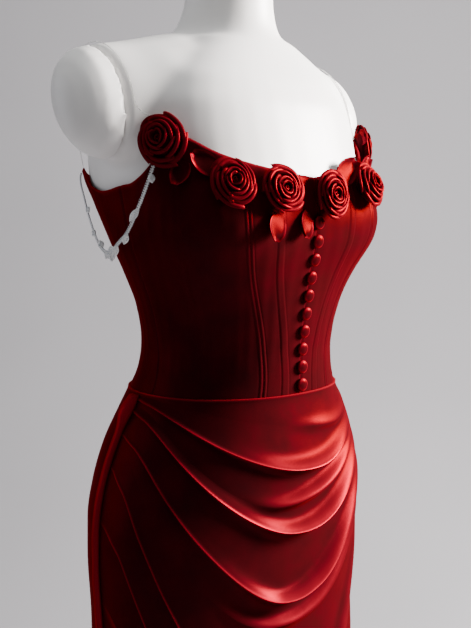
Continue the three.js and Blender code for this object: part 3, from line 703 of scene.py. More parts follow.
@dataclass(frozen=True)
class Softbox:
    """One soft studio light: where it stands, what it faces, its size and power."""

    name: str
    azimuth: float
    distance: float
    height: float
    aim: float
    width: float
    tall: float
    watts: float
    colour: str = "#ffffff"

    def make(self) -> None:
        """Place the light, facing the middle of the gown at its aim height."""
        data = bpy.data.lights.new(self.name, "AREA")
        data.shape = "RECTANGLE"
        data.size, data.size_y = self.width, self.tall
        data.energy = self.watts
        data.color = linear(self.colour)[:3]
        light = place_in_scene(self.name, data)
        turn = math.radians(self.azimuth)
        light.location = (math.sin(turn) * self.distance, -math.cos(turn) * self.distance, self.height)
        aim = Vector((0.0, 0.0, self.aim)) - light.location
        light.rotation_euler = aim.to_track_quat("-Z", "Y").to_euler()


@dataclass(frozen=True)
class Studio:
    """A pale floor and wall, a window-like key from the wearer's left and soft fills."""

    floor_size: float = 9000.0
    floor_drop: float = 0.4
    sweep_start: float = 600.0
    sweep: Profile = (
        (0.0, 0.0), (800.0, 20.0), (1350.0, 160.0), (1800.0, 500.0), (2050.0, 1100.0), (2100.0, 4200.0)
    )
    lights: tuple[Softbox, ...] = (
        Softbox("window_key", 55, 2.2, 1.85, 1.0, 0.8, 0.7, 470, "#fff8f4"),
        Softbox("side_window", 112, 3.0, 1.75, 1.05, 0.8, 1.3, 60, "#fffaf6"),
        Softbox("left_wall", 218, 2.5, 1.5, 1.05, 1.6, 2.0, 15, "#f6f7ff"),
        Softbox("ceiling", 20, 0.4, 3.1, 1.05, 2.2, 2.2, 35, "#ffffff"),
    )

    def make(self) -> None:
        """Build the floor, the wall behind and the lights."""
        half = self.floor_size / 2
        dense = np.linspace(0, 1, 40)
        place = np.linspace(0, 1, len(self.sweep))
        reach, height = (SmoothCurve(place, column)(dense) for column in zip(*self.sweep))
        reach = np.concatenate([[-half], reach + self.sweep_start])
        height = np.concatenate([[0.0], height]) - self.floor_drop
        turn = math.radians(PhotoCamera().azimuth)
        ahead = reach[:, None, None] * np.array([math.sin(turn), math.cos(turn), 0.0])
        side = np.array([math.cos(turn), -math.sin(turn), 0.0])
        across = np.linspace(-half, half, 3)[None, :, None] * side
        floor = Mesh()
        floor.grid(ahead + across + height[:, None, None] * np.array([0.0, 0.0, 1.0]))
        paper = floor.object("paper_sweep", Cloths.PAPER)
        for light in self.lights:
            light.make()
        world = bpy.data.worlds.new("studio_air")
        world.use_nodes = True
        air = world.node_tree.nodes["Background"]
        air.inputs["Color"].default_value = linear("#e8eaee")
        air.inputs["Strength"].default_value = 0.2
        bpy.context.scene.world = world


CASINGS = {
    "centre_front": ("front",),
    "side_front": ("princess", "side"),
    "side_back": (),
    "centre_back": ("back",),
}


def upright(angle: float) -> Line:
    """Give a seam that runs straight up at an angle."""
    return lambda z: angle + 0.0 * z


def half_gap(radius: float) -> float:
    """Give half of the gap at a seam as an angle on a radius."""
    return math.degrees(SEAM_GAP / 2 / radius)


@dataclass
class Bodice:
    """The boned corset: eight panels with sunk seams, boning channels and a bound top edge."""

    waist_angle: float = 24.0
    bust_angle: float = 33.0
    bust_height: float = 1196.0
    channel_waist: float = 10.0
    channel_bust: float = 18.0
    channel_side: float = 62.0
    channel_back: float = 146.0
    channel_width: float = 9.0
    channel_proud: float = 0.45
    channel_slope: tuple[float, float] = (2.2, 0.4)
    stitch_sink: float = 0.25
    stitch_width: float = 0.7
    seam_sink: float = 0.7
    seam_soft: float = 1.2
    # painted sheen strength along the seams
    seam_open: float = 0.16
    edge_round: float = 1.1
    # painted sheen strength along the bound top edge
    edge_open: float = 0.55
    bound_proud: float = 0.5
    drag: float = 0.12
    crowding: float = 0.55
    waist_radius: float = 110.0
    columns: int = 84
    rows: int = 76

    def princess(self, z: Array) -> Array:
        """Give the princess seam's angle at a height."""
        return blend(self.waist_angle, self.bust_angle, smoothstep(z, WAIST_SEAM, self.bust_height))

    def channel(self, z: Array) -> Array:
        """Give the front boning channel's angle at a height."""
        return blend(self.channel_waist, self.channel_bust, smoothstep(z, WAIST_SEAM, self.bust_height))

    def relief(self, angle: Array, z: Array) -> Array:
        """Give the relief of the boning channels and their two rows of stitching.

        Args:
            angle: Angles without their side, from 0 to 180.
            z: Heights.

        Returns:
            How far the cloth stands out, in millimetres.
        """
        reach = SURFACE.reach(angle, z)
        made = np.zeros_like(reach)
        half = self.channel_width / 2
        inside, outside = self.channel_slope
        for line in (self.channel(z), self.princess(z), self.channel_side, self.channel_back):
            away = np.abs(np.radians(angle - line) * reach)
            made += self.channel_proud * (1 - smoothstep(away, half - inside, half + outside))
            made -= self.stitch_sink * bell(away - half, self.stitch_width)
        return made

    def panel(self, name: str, low: Line, high: Line, side: int) -> None:
        """Make one panel between two seams.

        Args:
            name: The panel's name in the part.
            low: The angle of the seam nearer the centre front, by height.
            high: The angle of the seam nearer the centre back.
            side: 1 for the wearer's right and -1 for the left.
        """
        across = np.linspace(0, 1, self.columns + 1)[None, :]
        across = blend(across, smoothstep(across, 0, 1), self.crowding)
        up = np.linspace(0, 1, self.rows + 1)[:, None]
        start = WAIST_SEAM + SEAM_GAP
        rough = blend(low(WAIST_SEAM), high(WAIST_SEAM), across)
        guess = blend(start, SURFACE.top_edge(rough), up)
        gap = half_gap(self.waist_radius)
        angle = blend(low(guess) + gap, high(guess) - gap, across)
        z = blend(start, SURFACE.top_edge(angle), up)
        reach = SURFACE.reach(angle, z)
        from_low = np.radians(angle - low(z)) * reach
        from_high = np.radians(high(z) - angle) * reach
        edge = SURFACE.top_edge(angle) - z
        sunk = self.seam_sink * (bell(from_low, self.seam_soft) + bell(from_high, self.seam_soft))
        bound = self.bound_proud * (1 - smoothstep(edge, 4.5, 6.0)) - self.edge_round * bell(edge, 1.0)
        drag = self.drag * np.sin(angle * 0.9 + z * 0.02) * smoothstep(z, 1030, 1080)
        out = self.relief(angle, z) * smoothstep(edge, 3, 9) - sunk + bound + drag
        # painted sheen along the bound top edge and along the seams
        seams = bell(from_low, 0.9) + bell(from_high, 0.9)
        pile = self.edge_open * bell(edge - 0.6, 1.5) + self.seam_open * seams
        word = SIDES[side]
        casings = [f"casing_{line}_{word}" for line in CASINGS[name]]
        cloth = CutVelvet(f"velvet_{name}_{word}", (f"bodice_{name}_{word}", *casings))
        angle = side * angle
        cloth.make(SURFACE.point(angle, z, out), SURFACE.point(angle, z, -CLOTH), pile)

    def make(self) -> None:
        """Make the four panels of each side, from the centre front to the centre back."""
        seams = (upright(0.0), self.princess, upright(SIDE_SEAM), upright(SIDE_BACK_SEAM), upright(180.0))
        for side in SIDES:
            for name, low, high in zip(CASINGS, seams, seams[1:]):
                self.panel(name, low, high, side)


@dataclass(frozen=True)
class Fold:
    """One fold of the drape: its ends, its lowest point, and how deep it is.

    It leaves the right seam at right, sinks to low at the angle at, and climbs to left.
    Edge is the pleat's step at the right hip, swag its depth round the angle middle, and
    start the angle up to which a soft fold reaches.
    """

    right: float
    low: float
    at: float
    left: float
    bow: float
    edge: float
    swag: float
    middle: float
    start: float = 180.0
    round_low: float = 0.11
    steep: float = 0.87
    seam_fade: float = 14.0
    spread_right: float = 25.0
    spread_left: float = 42.0
    gather: float = 2.6

    def height(self, angle: Array) -> Array:
        """Give the fold's height at an angle."""
        rightward = angle > self.at
        span = np.where(rightward, DRAPE_RIGHT - self.at, self.at - DRAPE_LEFT)
        share = np.clip(np.abs(angle - self.at) / span, 0, 1)
        low = self.round_low
        eased = (np.hypot(share, low) - low) / (math.hypot(1, low) - low)
        end = np.where(rightward, self.right, self.left)
        return self.low + (end - self.low) * np.sin(math.pi / 2 * eased ** (self.steep * self.bow))

    def pleat(self, angle: Array) -> Array:
        """Give the depth of the pleat's flat step at an angle."""
        near = smoothstep(DRAPE_RIGHT - angle, 0, self.seam_fade)
        return self.edge * near * smoothstep(angle, self.middle - 30, self.middle + 12)

    def roll(self, angle: Array) -> Array:
        """Give the depth of the round swag at an angle."""
        spread = np.where(angle > self.middle, self.spread_right, self.spread_left)
        swag = self.swag * np.exp(-(((angle - self.middle) / spread) ** 2))
        begun = 1.0 if self.start > 179 else 1 - smoothstep(angle, self.start - 22, self.start)
        gather = self.gather * smoothstep(-angle, 30, 80) * smoothstep(angle - DRAPE_LEFT, 0, 12)
        return np.maximum(swag * begun, gather * begun)


FOLDS = (
    Fold(1021.5, 986, -18, 1020, 1.35, 0.0, 3.5, -20, 14),
    Fold(1017, 946, 1, 1014, 1.35, 3.4, 9, -3),
    Fold(1011.5, 911, 13, 1007, 1.4, 0.0, 10, -2, 36),
    Fold(1005, 881, 6, 998, 1.35, 3.4, 11, -3),
    Fold(980, 809, 11, 978, 1.35, 3.6, 14, 2),
    Fold(966, 781, 14, 961, 1.65, 0.0, 10, 6, 52),
    Fold(946, 655, 11, 934, 1.6, 3.4, 12, 2),
    Fold(888, 545, 10, 874, 1.75, 2.4, 9, 0),
    Fold(800, 410, 8, 786, 1.9, 1.2, 5, 0),
)


FLUTES = 9
FLUTE_DEPTH = 6.0
FLUTE_TOP = 430.0


def flute(angle: Array, z: Array) -> Array:
    """Give the soft waves that grow towards the hem all round the skirt."""
    grown = 1 - smoothstep(z, HEM_HEIGHT, FLUTE_TOP)
    return FLUTE_DEPTH * grown * 0.5 * (1 + np.cos(np.radians(FLUTES * angle + 25)))


@dataclass
class Skirt:
    """The column skirt: a draped front, two back panels and the rolled edge over the seam."""

    columns: int = 150
    above_rows: int = 14
    below_rows: int = 10
    hem_rows: int = 34
    swag_up: float = 8.5
    swag_down: float = 5.0
    pleat_round: float = 2.0
    lip: float = 1.1
    hem_turn: float = 30.0
    lip_width: float = 1.4
    # painted sheen strength along each pleat's lip
    lip_open: float = 0.9
    hip_reach: float = 135.0
    hip_radius: float = 150.0
    per_degree: float = 2.4
    allowance: float = 0.4
    roll_width: float = 11.0
    roll_lift: float = 2.2
    roll_crown: float = 3.4
    knot_height: float = 1007.0
    knot_spread: float = 15.0

    def slope(self, fold: Fold, angle: Array) -> Array:
        """Give the cosine of a fold line's slope along the cloth."""
        rise = (fold.height(angle + 0.5) - fold.height(angle - 0.5)) / math.radians(1.0)
        return 1 / np.sqrt(1 + (rise / self.hip_reach) ** 2)

    def shares(self) -> Array:
        """Give how the rows lie between two folds: close under one and over the next."""
        under = 0.32 * np.linspace(0, 1, self.below_rows, endpoint=False) ** 1.7
        over = 1 - 0.68 * np.linspace(1, 0, self.above_rows + 1) ** 1.8
        return np.concatenate([under, over[:-1]])

    def row(self, upper: Fold | None, lower: Fold | None, share: float, angle: Array) -> Triple:
        """Give a row's heights, how far it stands out and how strong its painted sheen is.

        Args:
            upper: The fold above the row, or none at the waist.
            lower: The fold below it, or none at the hem.
            share: How far down the row lies between them.
            angle: The angles of its points.

        Returns:
            The heights, the distances out of the gown's plain face, and the painted sheen.
        """
        top = upper.height(angle) if upper else WAIST_SEAM + 0 * angle
        bottom = lower.height(angle) if lower else HEM_HEIGHT + 0 * angle
        z = blend(top, bottom, share)
        out = np.zeros_like(angle)
        pile = np.zeros_like(angle)
        if upper:
            away = (top - z) * self.slope(upper, angle)
            pleat = upper.pleat(angle)
            crisp = np.minimum(1, pleat / 2)
            out += pleat * (1 - smoothstep(away, 0, self.pleat_round))
            out += upper.roll(angle) * bell(away, self.swag_down)
            out += self.lip * bell(away, self.lip_width) * crisp
            # painted sheen along the lip of the pleat above
            pile += self.lip_open * crisp * bell(away, 1.1)
        if lower:
            away = (z - bottom) * self.slope(lower, angle)
            gap = np.maximum((top - bottom) * self.slope(lower, angle), 1.0)
            pleat, roll = lower.pleat(angle), lower.roll(angle)
            out += pleat * (1 - np.clip(away / gap, 0, 1)) ** 1.3
            crisp = np.minimum(1, pleat / 2)
            out += roll * bell(away, self.swag_up) * (1 - smoothstep(away / gap, 0.5, 1.0))
            out += self.lip * bell(away, self.lip_width) * crisp
            # painted sheen along the lip of the pleat below, and a painted highlight just over the swag's
            # crest
            pile += self.lip_open * crisp * bell(away, 0.9)
            pile += 0.3 * np.minimum(1, roll / 9) * bell(away - 3, 5)
        return z, out, pile

    def front(self) -> None:
        """Make the draped front, with its folds from the right seam."""
        gap = half_gap(self.hip_radius)
        angle = np.linspace(DRAPE_LEFT + gap, DRAPE_RIGHT - gap, self.columns + 1)
        lines: list[Fold | None] = [None, *FOLDS]
        rows = []
        for i, upper in enumerate(lines):
            lower = lines[i + 1] if i + 1 < len(lines) else None
            shares = self.shares() if lower else np.linspace(0, 1, self.hem_rows) ** 1.15
            for share in shares:
                rows.append(self.row(upper, lower, float(share), angle))
        z, out, pile = (np.array(column) for column in zip(*rows))
        self.panel("front_drape", "draped", angle[None, :] + 0 * z, z, out, pile)

    def panel(self, name: str, held: str, angle: Array, z: Array, out: Array, pile: Array) -> None:
        """Make a skirt panel from its heights and depths.

        Args:
            name: What the part's node is called after its first word.
            held: How the cloth is held.
            angle: Angles by row and column.
            z: Heights by row and column.
            out: How far it stands out of the gown's plain face.
            pile: How strong its painted sheen is.
        """
        waist = 0.9 * bell(WAIST_SEAM - z, 2.0)
        hem = -0.5 * bell(z - HEM_HEIGHT - self.hem_turn, 1.2) - 0.6 * bell(z - HEM_HEIGHT, 1.0)
        base = SKIRT_LAP + flute(angle, z) + waist + hem
        outer = SURFACE.point(angle, z, base + out)
        turned_in = (SKIRT_LAP + self.allowance) * bell(WAIST_SEAM - z, 2.0)
        inner = SURFACE.point(angle, z, base + out - CLOTH - turned_in)
        # painted sheen along the waist seam and the hem
        pile = pile + 0.75 * bell(WAIST_SEAM - z, 1.3) + 0.4 * bell(z - HEM_HEIGHT, 1.2)
        CutVelvet("velvet_" + name, ("skirt_" + name,), held).make(outer, inner, pile)

    def back(self, name: str, start: float, end: float) -> None:
        """Make one back panel between two seams, with faint drags from the gathered one."""
        gap = half_gap(self.hip_radius)
        angle = np.linspace(start + gap, end - gap, 70)[None, :]
        z = blend(WAIST_SEAM, HEM_HEIGHT, np.linspace(0, 1, 150)[:, None] ** 1.25)
        angle, z = np.broadcast_arrays(angle, z)
        turned = np.minimum(np.abs(angle - DRAPE_RIGHT), np.abs(360 + DRAPE_LEFT - angle))
        drag = 1.3 * np.sin((WAIST_SEAM - z) * 0.085 + turned * 0.10) * np.exp(-turned / 20)
        drag *= smoothstep(z, 780, 960) * smoothstep(turned, 0, 5)
        behind = (angle - 180) * self.per_degree
        seam = -0.8 * bell(behind, 1.3)
        edges = -0.6 * bell(turned * self.per_degree, 1.3)
        # a faint painted sheen along the centre back seam
        pile = 0.1 * bell(behind, 1.5)
        self.panel(name, "hung", angle, z, drag + seam + edges, pile)

    def side_roll(self) -> None:
        """Make the rolled edge that covers the right seam, knotted thicker at the waist."""
        z = blend(WAIST_SEAM - 3, HEM_HEIGHT, np.linspace(0, 1, 170)[:, None] ** 1.3)
        across = np.linspace(-0.5, 0.5, 17)[None, :]
        across, z = np.broadcast_arrays(across, z)
        knot = bell(z - self.knot_height, self.knot_spread)
        width = self.roll_width * (1 + 0.7 * knot)
        angle = DRAPE_RIGHT + np.degrees(across * width / SURFACE.size["right"](z))
        ripple = 0.5 * np.sin(z * 0.11) * np.cos(z * 0.037)
        crown = (self.roll_crown + 6 * knot + ripple) * np.sqrt(np.clip(1 - (2 * across) ** 2, 0, 1))
        lift = SKIRT_LAP + flute(angle, z) + self.roll_lift
        outer = SURFACE.point(angle, z, lift + 0.8 + crown)
        inner = SURFACE.point(angle, z, lift - 1.6)
        cloth = CutVelvet("velvet_side_roll", ("skirt_side_roll",), "folded", "velvet_front_drape")
        # the whole roll is painted with the bright sheen colour, more at the knot
        cloth.make(outer, inner, 0.7 + 0.2 * knot)

    def make(self) -> None:
        """Make every panel of the skirt."""
        self.front()
        self.back("back_right", DRAPE_RIGHT, 180.0)
        self.back("back_left", 180.0, 360.0 + DRAPE_LEFT)
        self.side_roll()


@dataclass(frozen=True)
class Ring:
    """One ring of a rose's petals: how many, how wide and tall, and how far their rims roll."""

    petals: int
    reach: float
    tall: float
    span: float
    roll: float


RINGS = (
    Ring(2, 5.6, 19.0, 215, 0.9),
    Ring(3, 9.4, 18.2, 165, 1.2),
    Ring(3, 13.4, 16.0, 150, 1.6),
    Ring(4, 17.4, 12.4, 122, 2.0),
    Ring(5, 21.0, 8.0, 100, 2.5),
)


ROSE_BACKING = ((0, 0), (15, 0), (16, 1), (19, 5.4), (17.6, 9.8), (13.2, 13.8), (8, 16), (0, 16.4))


@dataclass(frozen=True)
class Rose:
    """A velvet rose: rings of overlapping rolled petals round a tight bud, on a backing.

    Wide narrows it across, and the leans push its crown across and up as it rises. Upright is
    the share of a petal that stands before its rim curls over.
    """

    name: str
    angle: float
    z: float
    size: float
    turn: float
    wide: float = 1.0
    lean_across: float = 0.0
    lean_up: float = 0.0
    bud_height: float = 18.5
    seat: float = 0.8
    upright: float = 0.7
    curl: float = 165.0
    # painted sheen over every petal, which lightens the rose
    pile: float = 0.18
    thick: float = 0.9

    def petal(self, ring: Ring, start: float, wave: float) -> Triple:
        """Give one petal's outer and inner points in the rose's own frame, and its painted sheen.

        Args:
            ring: The ring that it belongs to.
            start: The angle of its middle.
            wave: A number that makes its rim its own.

        Returns:
            Points of both faces and the painted sheen, by row and column.
        """
        v, u = np.meshgrid(np.linspace(0, 1, 17), np.linspace(-1, 1, 27), indexing="ij")
        stand = np.clip(v / self.upright, 0, 1)
        curl = np.clip((v - self.upright) / (1 - self.upright), 0, 1) * math.radians(self.curl)
        round_off = 1 - 0.3 * np.abs(u) ** 4
        foot = 0.5 * ring.reach
        overlap = 0.075 * ring.reach * u
        ripple = 0.05 * ring.reach * np.sin(2.6 * u + wave) * stand
        reach = foot + (ring.reach - foot) * stand**0.75 + ring.roll * (1 - np.cos(curl)) + overlap + ripple
        flutter = 0.4 * np.sin(4 * u + wave) * stand
        lift = 1.2 + ring.tall * round_off * stand + ring.roll * np.sin(curl) + flutter
        turn = start + u * math.radians(ring.span) / 2

        def face(depth: float) -> Array:
            """Give the petal's points at a depth behind its outer face."""
            away = reach - depth * np.cos(np.minimum(curl, 1.5))
            return np.stack([away * np.cos(turn), away * np.sin(turn), lift - depth * np.sin(curl)], -1)

        # painted sheen: a share over the whole petal, more along the rolled rim and the side edges
        pile = self.pile + 0.2 * bell(v - 0.84, 0.1) + 0.1 * bell(1 - np.abs(u), 0.06)
        return face(0.0), face(self.thick), pile

    def bud(self) -> Triple:
        """Give the tight coil in the middle."""
        along = np.linspace(0, 1, 64)
        coil = along * 3.2 * math.pi + math.radians(self.turn)
        reach = 0.7 + 3.0 * along
        rise = np.array([1.5, 10.0, self.bud_height - 0.7, self.bud_height])[:, None]
        bulge = np.array([0.8, 1.1, 1.0, 0.9])[:, None]
        top = rise - np.where(rise > 9, 1.6 * along, 0)
        outer = np.stack([bulge * reach * np.cos(coil), bulge * reach * np.sin(coil), top], -1)
        inner = outer * np.array([0.7, 0.7, 1.0])
        # painted sheen, brighter towards the bud's top
        return outer, inner, np.array([self.pile, self.pile, 0.38, 0.6])[:, None] + 0 * top

    def make(self) -> None:
        """Build the rose and seat it on the bodice."""
        made = Mesh()
        for number, ring in enumerate(RINGS):
            for index in range(ring.petals):
                start = math.radians(self.turn + 77 * number + 360 * index / ring.petals)
                made.wall(*self.petal(ring, start, 1.7 * number + 2.3 * index + self.turn))
        made.wall(*self.bud())
        made.lathe(ROSE_BACKING, 40)
        for points in made.points:
            points *= self.size
            points[:, 0] = points[:, 0] * self.wide + self.lean_across * points[:, 2]
            points[:, 1] += self.lean_up * points[:, 2]
        made.seat(self.angle, self.z, self.seat)
        made.piece("velvet_" + self.name, Cloths.VELVET, self.name, smooth=70)


ROSES = (
    Rose("rose_corner_right", 65, 1284, 1.06, 20, 0.9, -0.38, 0.3),
    Rose("rose_outer_right", 39, 1243, 1.06, 150, 0.82),
    Rose("rose_inner_right", 17.5, 1240, 1.0, 260, 1.0, -0.3, -0.15),
    Rose("rose_inner_left", -4.5, 1235, 0.98, 75, 1.0, -0.35, -0.1),
    Rose("rose_outer_left", -29, 1242, 1.0, 200, 1.0, -0.2),
    Rose("rose_corner_left", -65, 1284, 1.06, 310, 0.9, 0.38, 0.3),
)


@dataclass(frozen=True)
class Petal:
    """A loose petal beside a rose, cupped, with a rolled rim, rooted on the bodice.

    Turn is the direction in which it points: 0 is up and 90 towards the wearer's right.
    """

    name: str
    rose: str
    angle: float
    z: float
    turn: float
    seat: float
    size: float
    length: float = 30.0
    width: float = 23.0
    lift: float = 6.0
    cup: float = 3.2

    def make(self) -> None:
        """Build the petal on the bodice's own surface."""
        ends = SURFACE.point(np.array([self.angle - 6, self.angle + 6]), self.z)
        per_degree = float(np.linalg.norm(ends[1] - ends[0])) / 12
        sine, cosine = math.sin(math.radians(self.turn)), math.cos(math.radians(self.turn))
        along, across = np.meshgrid(np.linspace(0, 1, 30), np.linspace(-1, 1, 27), indexing="ij")
        half = self.width / 2 * np.sin(math.pi * (0.16 + 0.78 * along)) ** 0.75
        side = self.size * half * across
        reach = self.size * self.length * along
        edge = np.maximum(smoothstep(np.abs(across), 0.7, 1.0), smoothstep(along, 0.84, 1.0))
        lift = self.lift * along**1.6 + self.cup * across**2 * along + 1.8 * edge * along
        lift = lift + 0.8 * np.sin(5 * along + 2 * across) * along
        angle = self.angle + (reach * sine - side * cosine) / per_degree
        z = self.z + side * sine + reach * cosine
        outer = SURFACE.point(angle, z, self.seat + lift + 1.3)
        inner = SURFACE.point(angle, z, self.seat + lift)
        cloth = CutVelvet("velvet_" + self.name, (self.name,), "folded", self.rose)
        # painted sheen along the petal's rolled rim
        cloth.make(outer, inner, 0.65 * edge * smoothstep(along, 0.1, 0.4))


PETALS = (
    Petal("petal_corner_right", "rose_corner_right", 58.5, 1268, 162, 0.7, 0.8),
    Petal("petal_outer_right", "rose_outer_right", 43.5, 1257, 47, 0.7, 0.98),
    Petal("petal_inner_right", "rose_inner_right", 19.5, 1216, 158, 2.6, 0.95),
    Petal("petal_inner_left", "rose_inner_left", 4.5, 1217, 152, 0.3, 0.95),
    Petal("petal_neck_left", "rose_inner_left", -12, 1250, -50, 0.7, 1.15),
    Petal("petal_outer_left", "rose_outer_left", -36, 1256, -46, 0.7, 1.0),
    Petal("petal_corner_left", "rose_corner_left", -58.5, 1268, -162, 0.7, 0.8),
)


@dataclass(frozen=True)
class Buttons:
    """Velvet-covered dome buttons down the centre front."""

    count: int = 10
    top: float = 1206.0
    bottom: float = 1033.0
    radius: float = 7.2
    height: float = 5.0
    seat: float = 0.7

    def make(self) -> None:
        """Build each button: a domed cap over a tucked rim, with a painted sheen round the rim where its
        pile opens.
        """
        swing = np.linspace(0, math.pi / 2, 12)
        dome = [(self.radius * math.cos(a), self.height * (0.32 + 0.68 * math.sin(a))) for a in swing]
        profile = [(0.0, 0.0), (self.radius * 0.86, 0.0), (self.radius * 0.98, 0.6), *dome]
        # painted sheen round the rim of each button
        pile = np.concatenate([[0, 0, 0.3], 0.75 * bell(swing - 0.45, 0.3)])
        for i in range(self.count):
            made = Mesh()
            made.lathe(profile, 40, pile)
            made.seat(0.0, blend(self.top, self.bottom, i / (self.count - 1)), self.seat)
            made.piece(f"velvet_button_{i + 1}", Cloths.VELVET, f"button_{i + 1}")


@dataclass(frozen=True)
class Leaf:
    """A leaf of the vine: its place along the stem, its turn off the stem and its length."""

    along: float
    spread: float
    length: float


LEAVES = (
    Leaf(0.03, -30, 8), Leaf(0.15, 14, 14), Leaf(0.27, -18, 10), Leaf(0.36, -22, 12),
    Leaf(0.40, 24, 11), Leaf(0.44, -62, 9), Leaf(0.50, -40, 8), Leaf(0.62, 30, 8),
    Leaf(0.74, -28, 8), Leaf(0.88, 150, 9),
)
LEAF_STONES = (
    (0.0, 0.18), (-0.24, 0.36), (0.24, 0.36), (-0.27, 0.55), (0.27, 0.55), (0.0, 0.7), (0.0, 0.88)
)


@dataclass(frozen=True)
class Vine:
    """A crystal vine that hangs off a shoulder from the front corner to the back one."""

    front: float = 73.0
    back: float = 129.0
    front_z: float = 1268.0
    back_z: float = 1258.0
    drop: float = 88.0
    swing: float = 15.0
    radius: float = 1.2
    wire: float = 0.75
    leaf_width: float = 7.2
    leaf_long: float = 1.2
    face_front: float = 0.9
    stone: float = 0.95
    stone_lift: float = 0.6
    stone_step: float = 2.5
    row_apart: float = 1.35

    def line(self, side: int, count: int) -> Array:
        """Give the vine's middle line.

        Args:
            side: 1 for the wearer's right and -1 for the left.
            count: How many points to give.

        Returns:
            The points, from the front corner to the back one.
        """
        t = np.linspace(0, 1, count)
        z = blend(self.front_z, self.back_z, t) - self.drop * 4 * t * (1 - t)
        out = self.radius + SEAM_GAP + self.swing * np.sin(math.pi * t) ** 0.7
        return SURFACE.point(side * blend(self.front, self.back, t), z, out)

    def leaf_frames(self, side: int) -> list[tuple[Matrix, float]]:
        """Give where each leaf grows, its direction, the way it faces, and its length."""
        count = 401
        line = self.line(side, count)
        frames = []
        for leaf in LEAVES:
            at = 2 + round((count - 5) * leaf.along)
            along = Vector(line[at + 2] - line[at - 2]).normalized()
            outward = Vector((line[at][0], line[at][1], 0.0)).normalized()
            across = along.cross(outward).normalized()
            spread = math.radians(leaf.spread)
            toward = along * math.cos(spread) + across * side * math.sin(spread)
            flat = toward.cross(outward + Vector((0.0, -self.face_front, 0.0))).normalized()
            frame = Matrix((flat, toward, flat.cross(toward))).transposed().to_4x4()
            frame.translation = Vector(line[at])
            frames.append((frame, self.leaf_long * leaf.length))
        return frames

    def leaf(self, length: float) -> tuple[Array, Array]:
        """Give a pointed leaf's two faces along Y, crowned along its vein."""
        along, across = np.meshgrid(np.linspace(0, 1, 9), np.linspace(-1, 1, 7), indexing="ij")
        half = self.leaf_width / 2 * np.sin(math.pi * (0.06 + 0.92 * along)) ** 0.85
        crown = 0.5 * (1 - across**2) + 0.25
        points = np.stack([half * across, length * along, crown], -1)
        return points, points * np.array([1.0, 1.0, -1.0])

    def setting(self, side: int) -> None:
        """Make the plated stem and leaves."""
        made = Mesh()
        made.tube(self.line(side, 90), self.wire, 8)
        for frame, length in self.leaf_frames(side):
            turn = np.array(frame.to_3x3())
            place = np.array(frame.translation)
            outer, inner = self.leaf(length)
            made.wall(outer @ turn.T + place, inner @ turn.T + place)
        word = SIDES[side]
        made.piece(f"vine_setting_{word}", Cloths.SILVER, f"crystal_vine_{word}", smooth=40)

    def stone_points(self, side: int) -> Array:
        """Give where the stones sit: along the stem and over each leaf."""
        line = self.line(side, 400)
        length = np.concatenate([[0], np.linalg.norm(np.diff(line, axis=0), axis=1).cumsum()])
        steps = np.arange(1.0, length[-1], self.stone_step)
        stem = np.stack([np.interp(steps, length, line[:, k]) for k in range(3)], -1)
        outward = stem * np.array([1.0, 1.0, 0.0])
        outward /= np.linalg.norm(outward, axis=1)[:, None]
        across = np.cross(np.gradient(stem, axis=0), outward)
        across /= np.linalg.norm(across, axis=1)[:, None]
        proud = stem + outward * self.stone_lift
        made = [proud + across * self.row_apart * way for way in (-1, 1)]
        for frame, length in self.leaf_frames(side):
            size = Vector((self.leaf_width, length, self.wire))
            made.append(np.array([frame @ (size * Vector((x, y, 1.0))) for x, y in LEAF_STONES]))
        return np.concatenate(made)

    def stones(self, side: int, gems: "GemSetter") -> None:
        """Set the stones with the gem tree."""
        piece = gems.set(f"vine_stones_{SIDES[side]}", self.stone_points(side), self.stone)
        settle(piece, Cloths.CRYSTAL)

    def make(self) -> None:
        """Make both vines."""
        gems = GemSetter()
        for side in SIDES:
            self.setting(side)
            self.stones(side, gems)


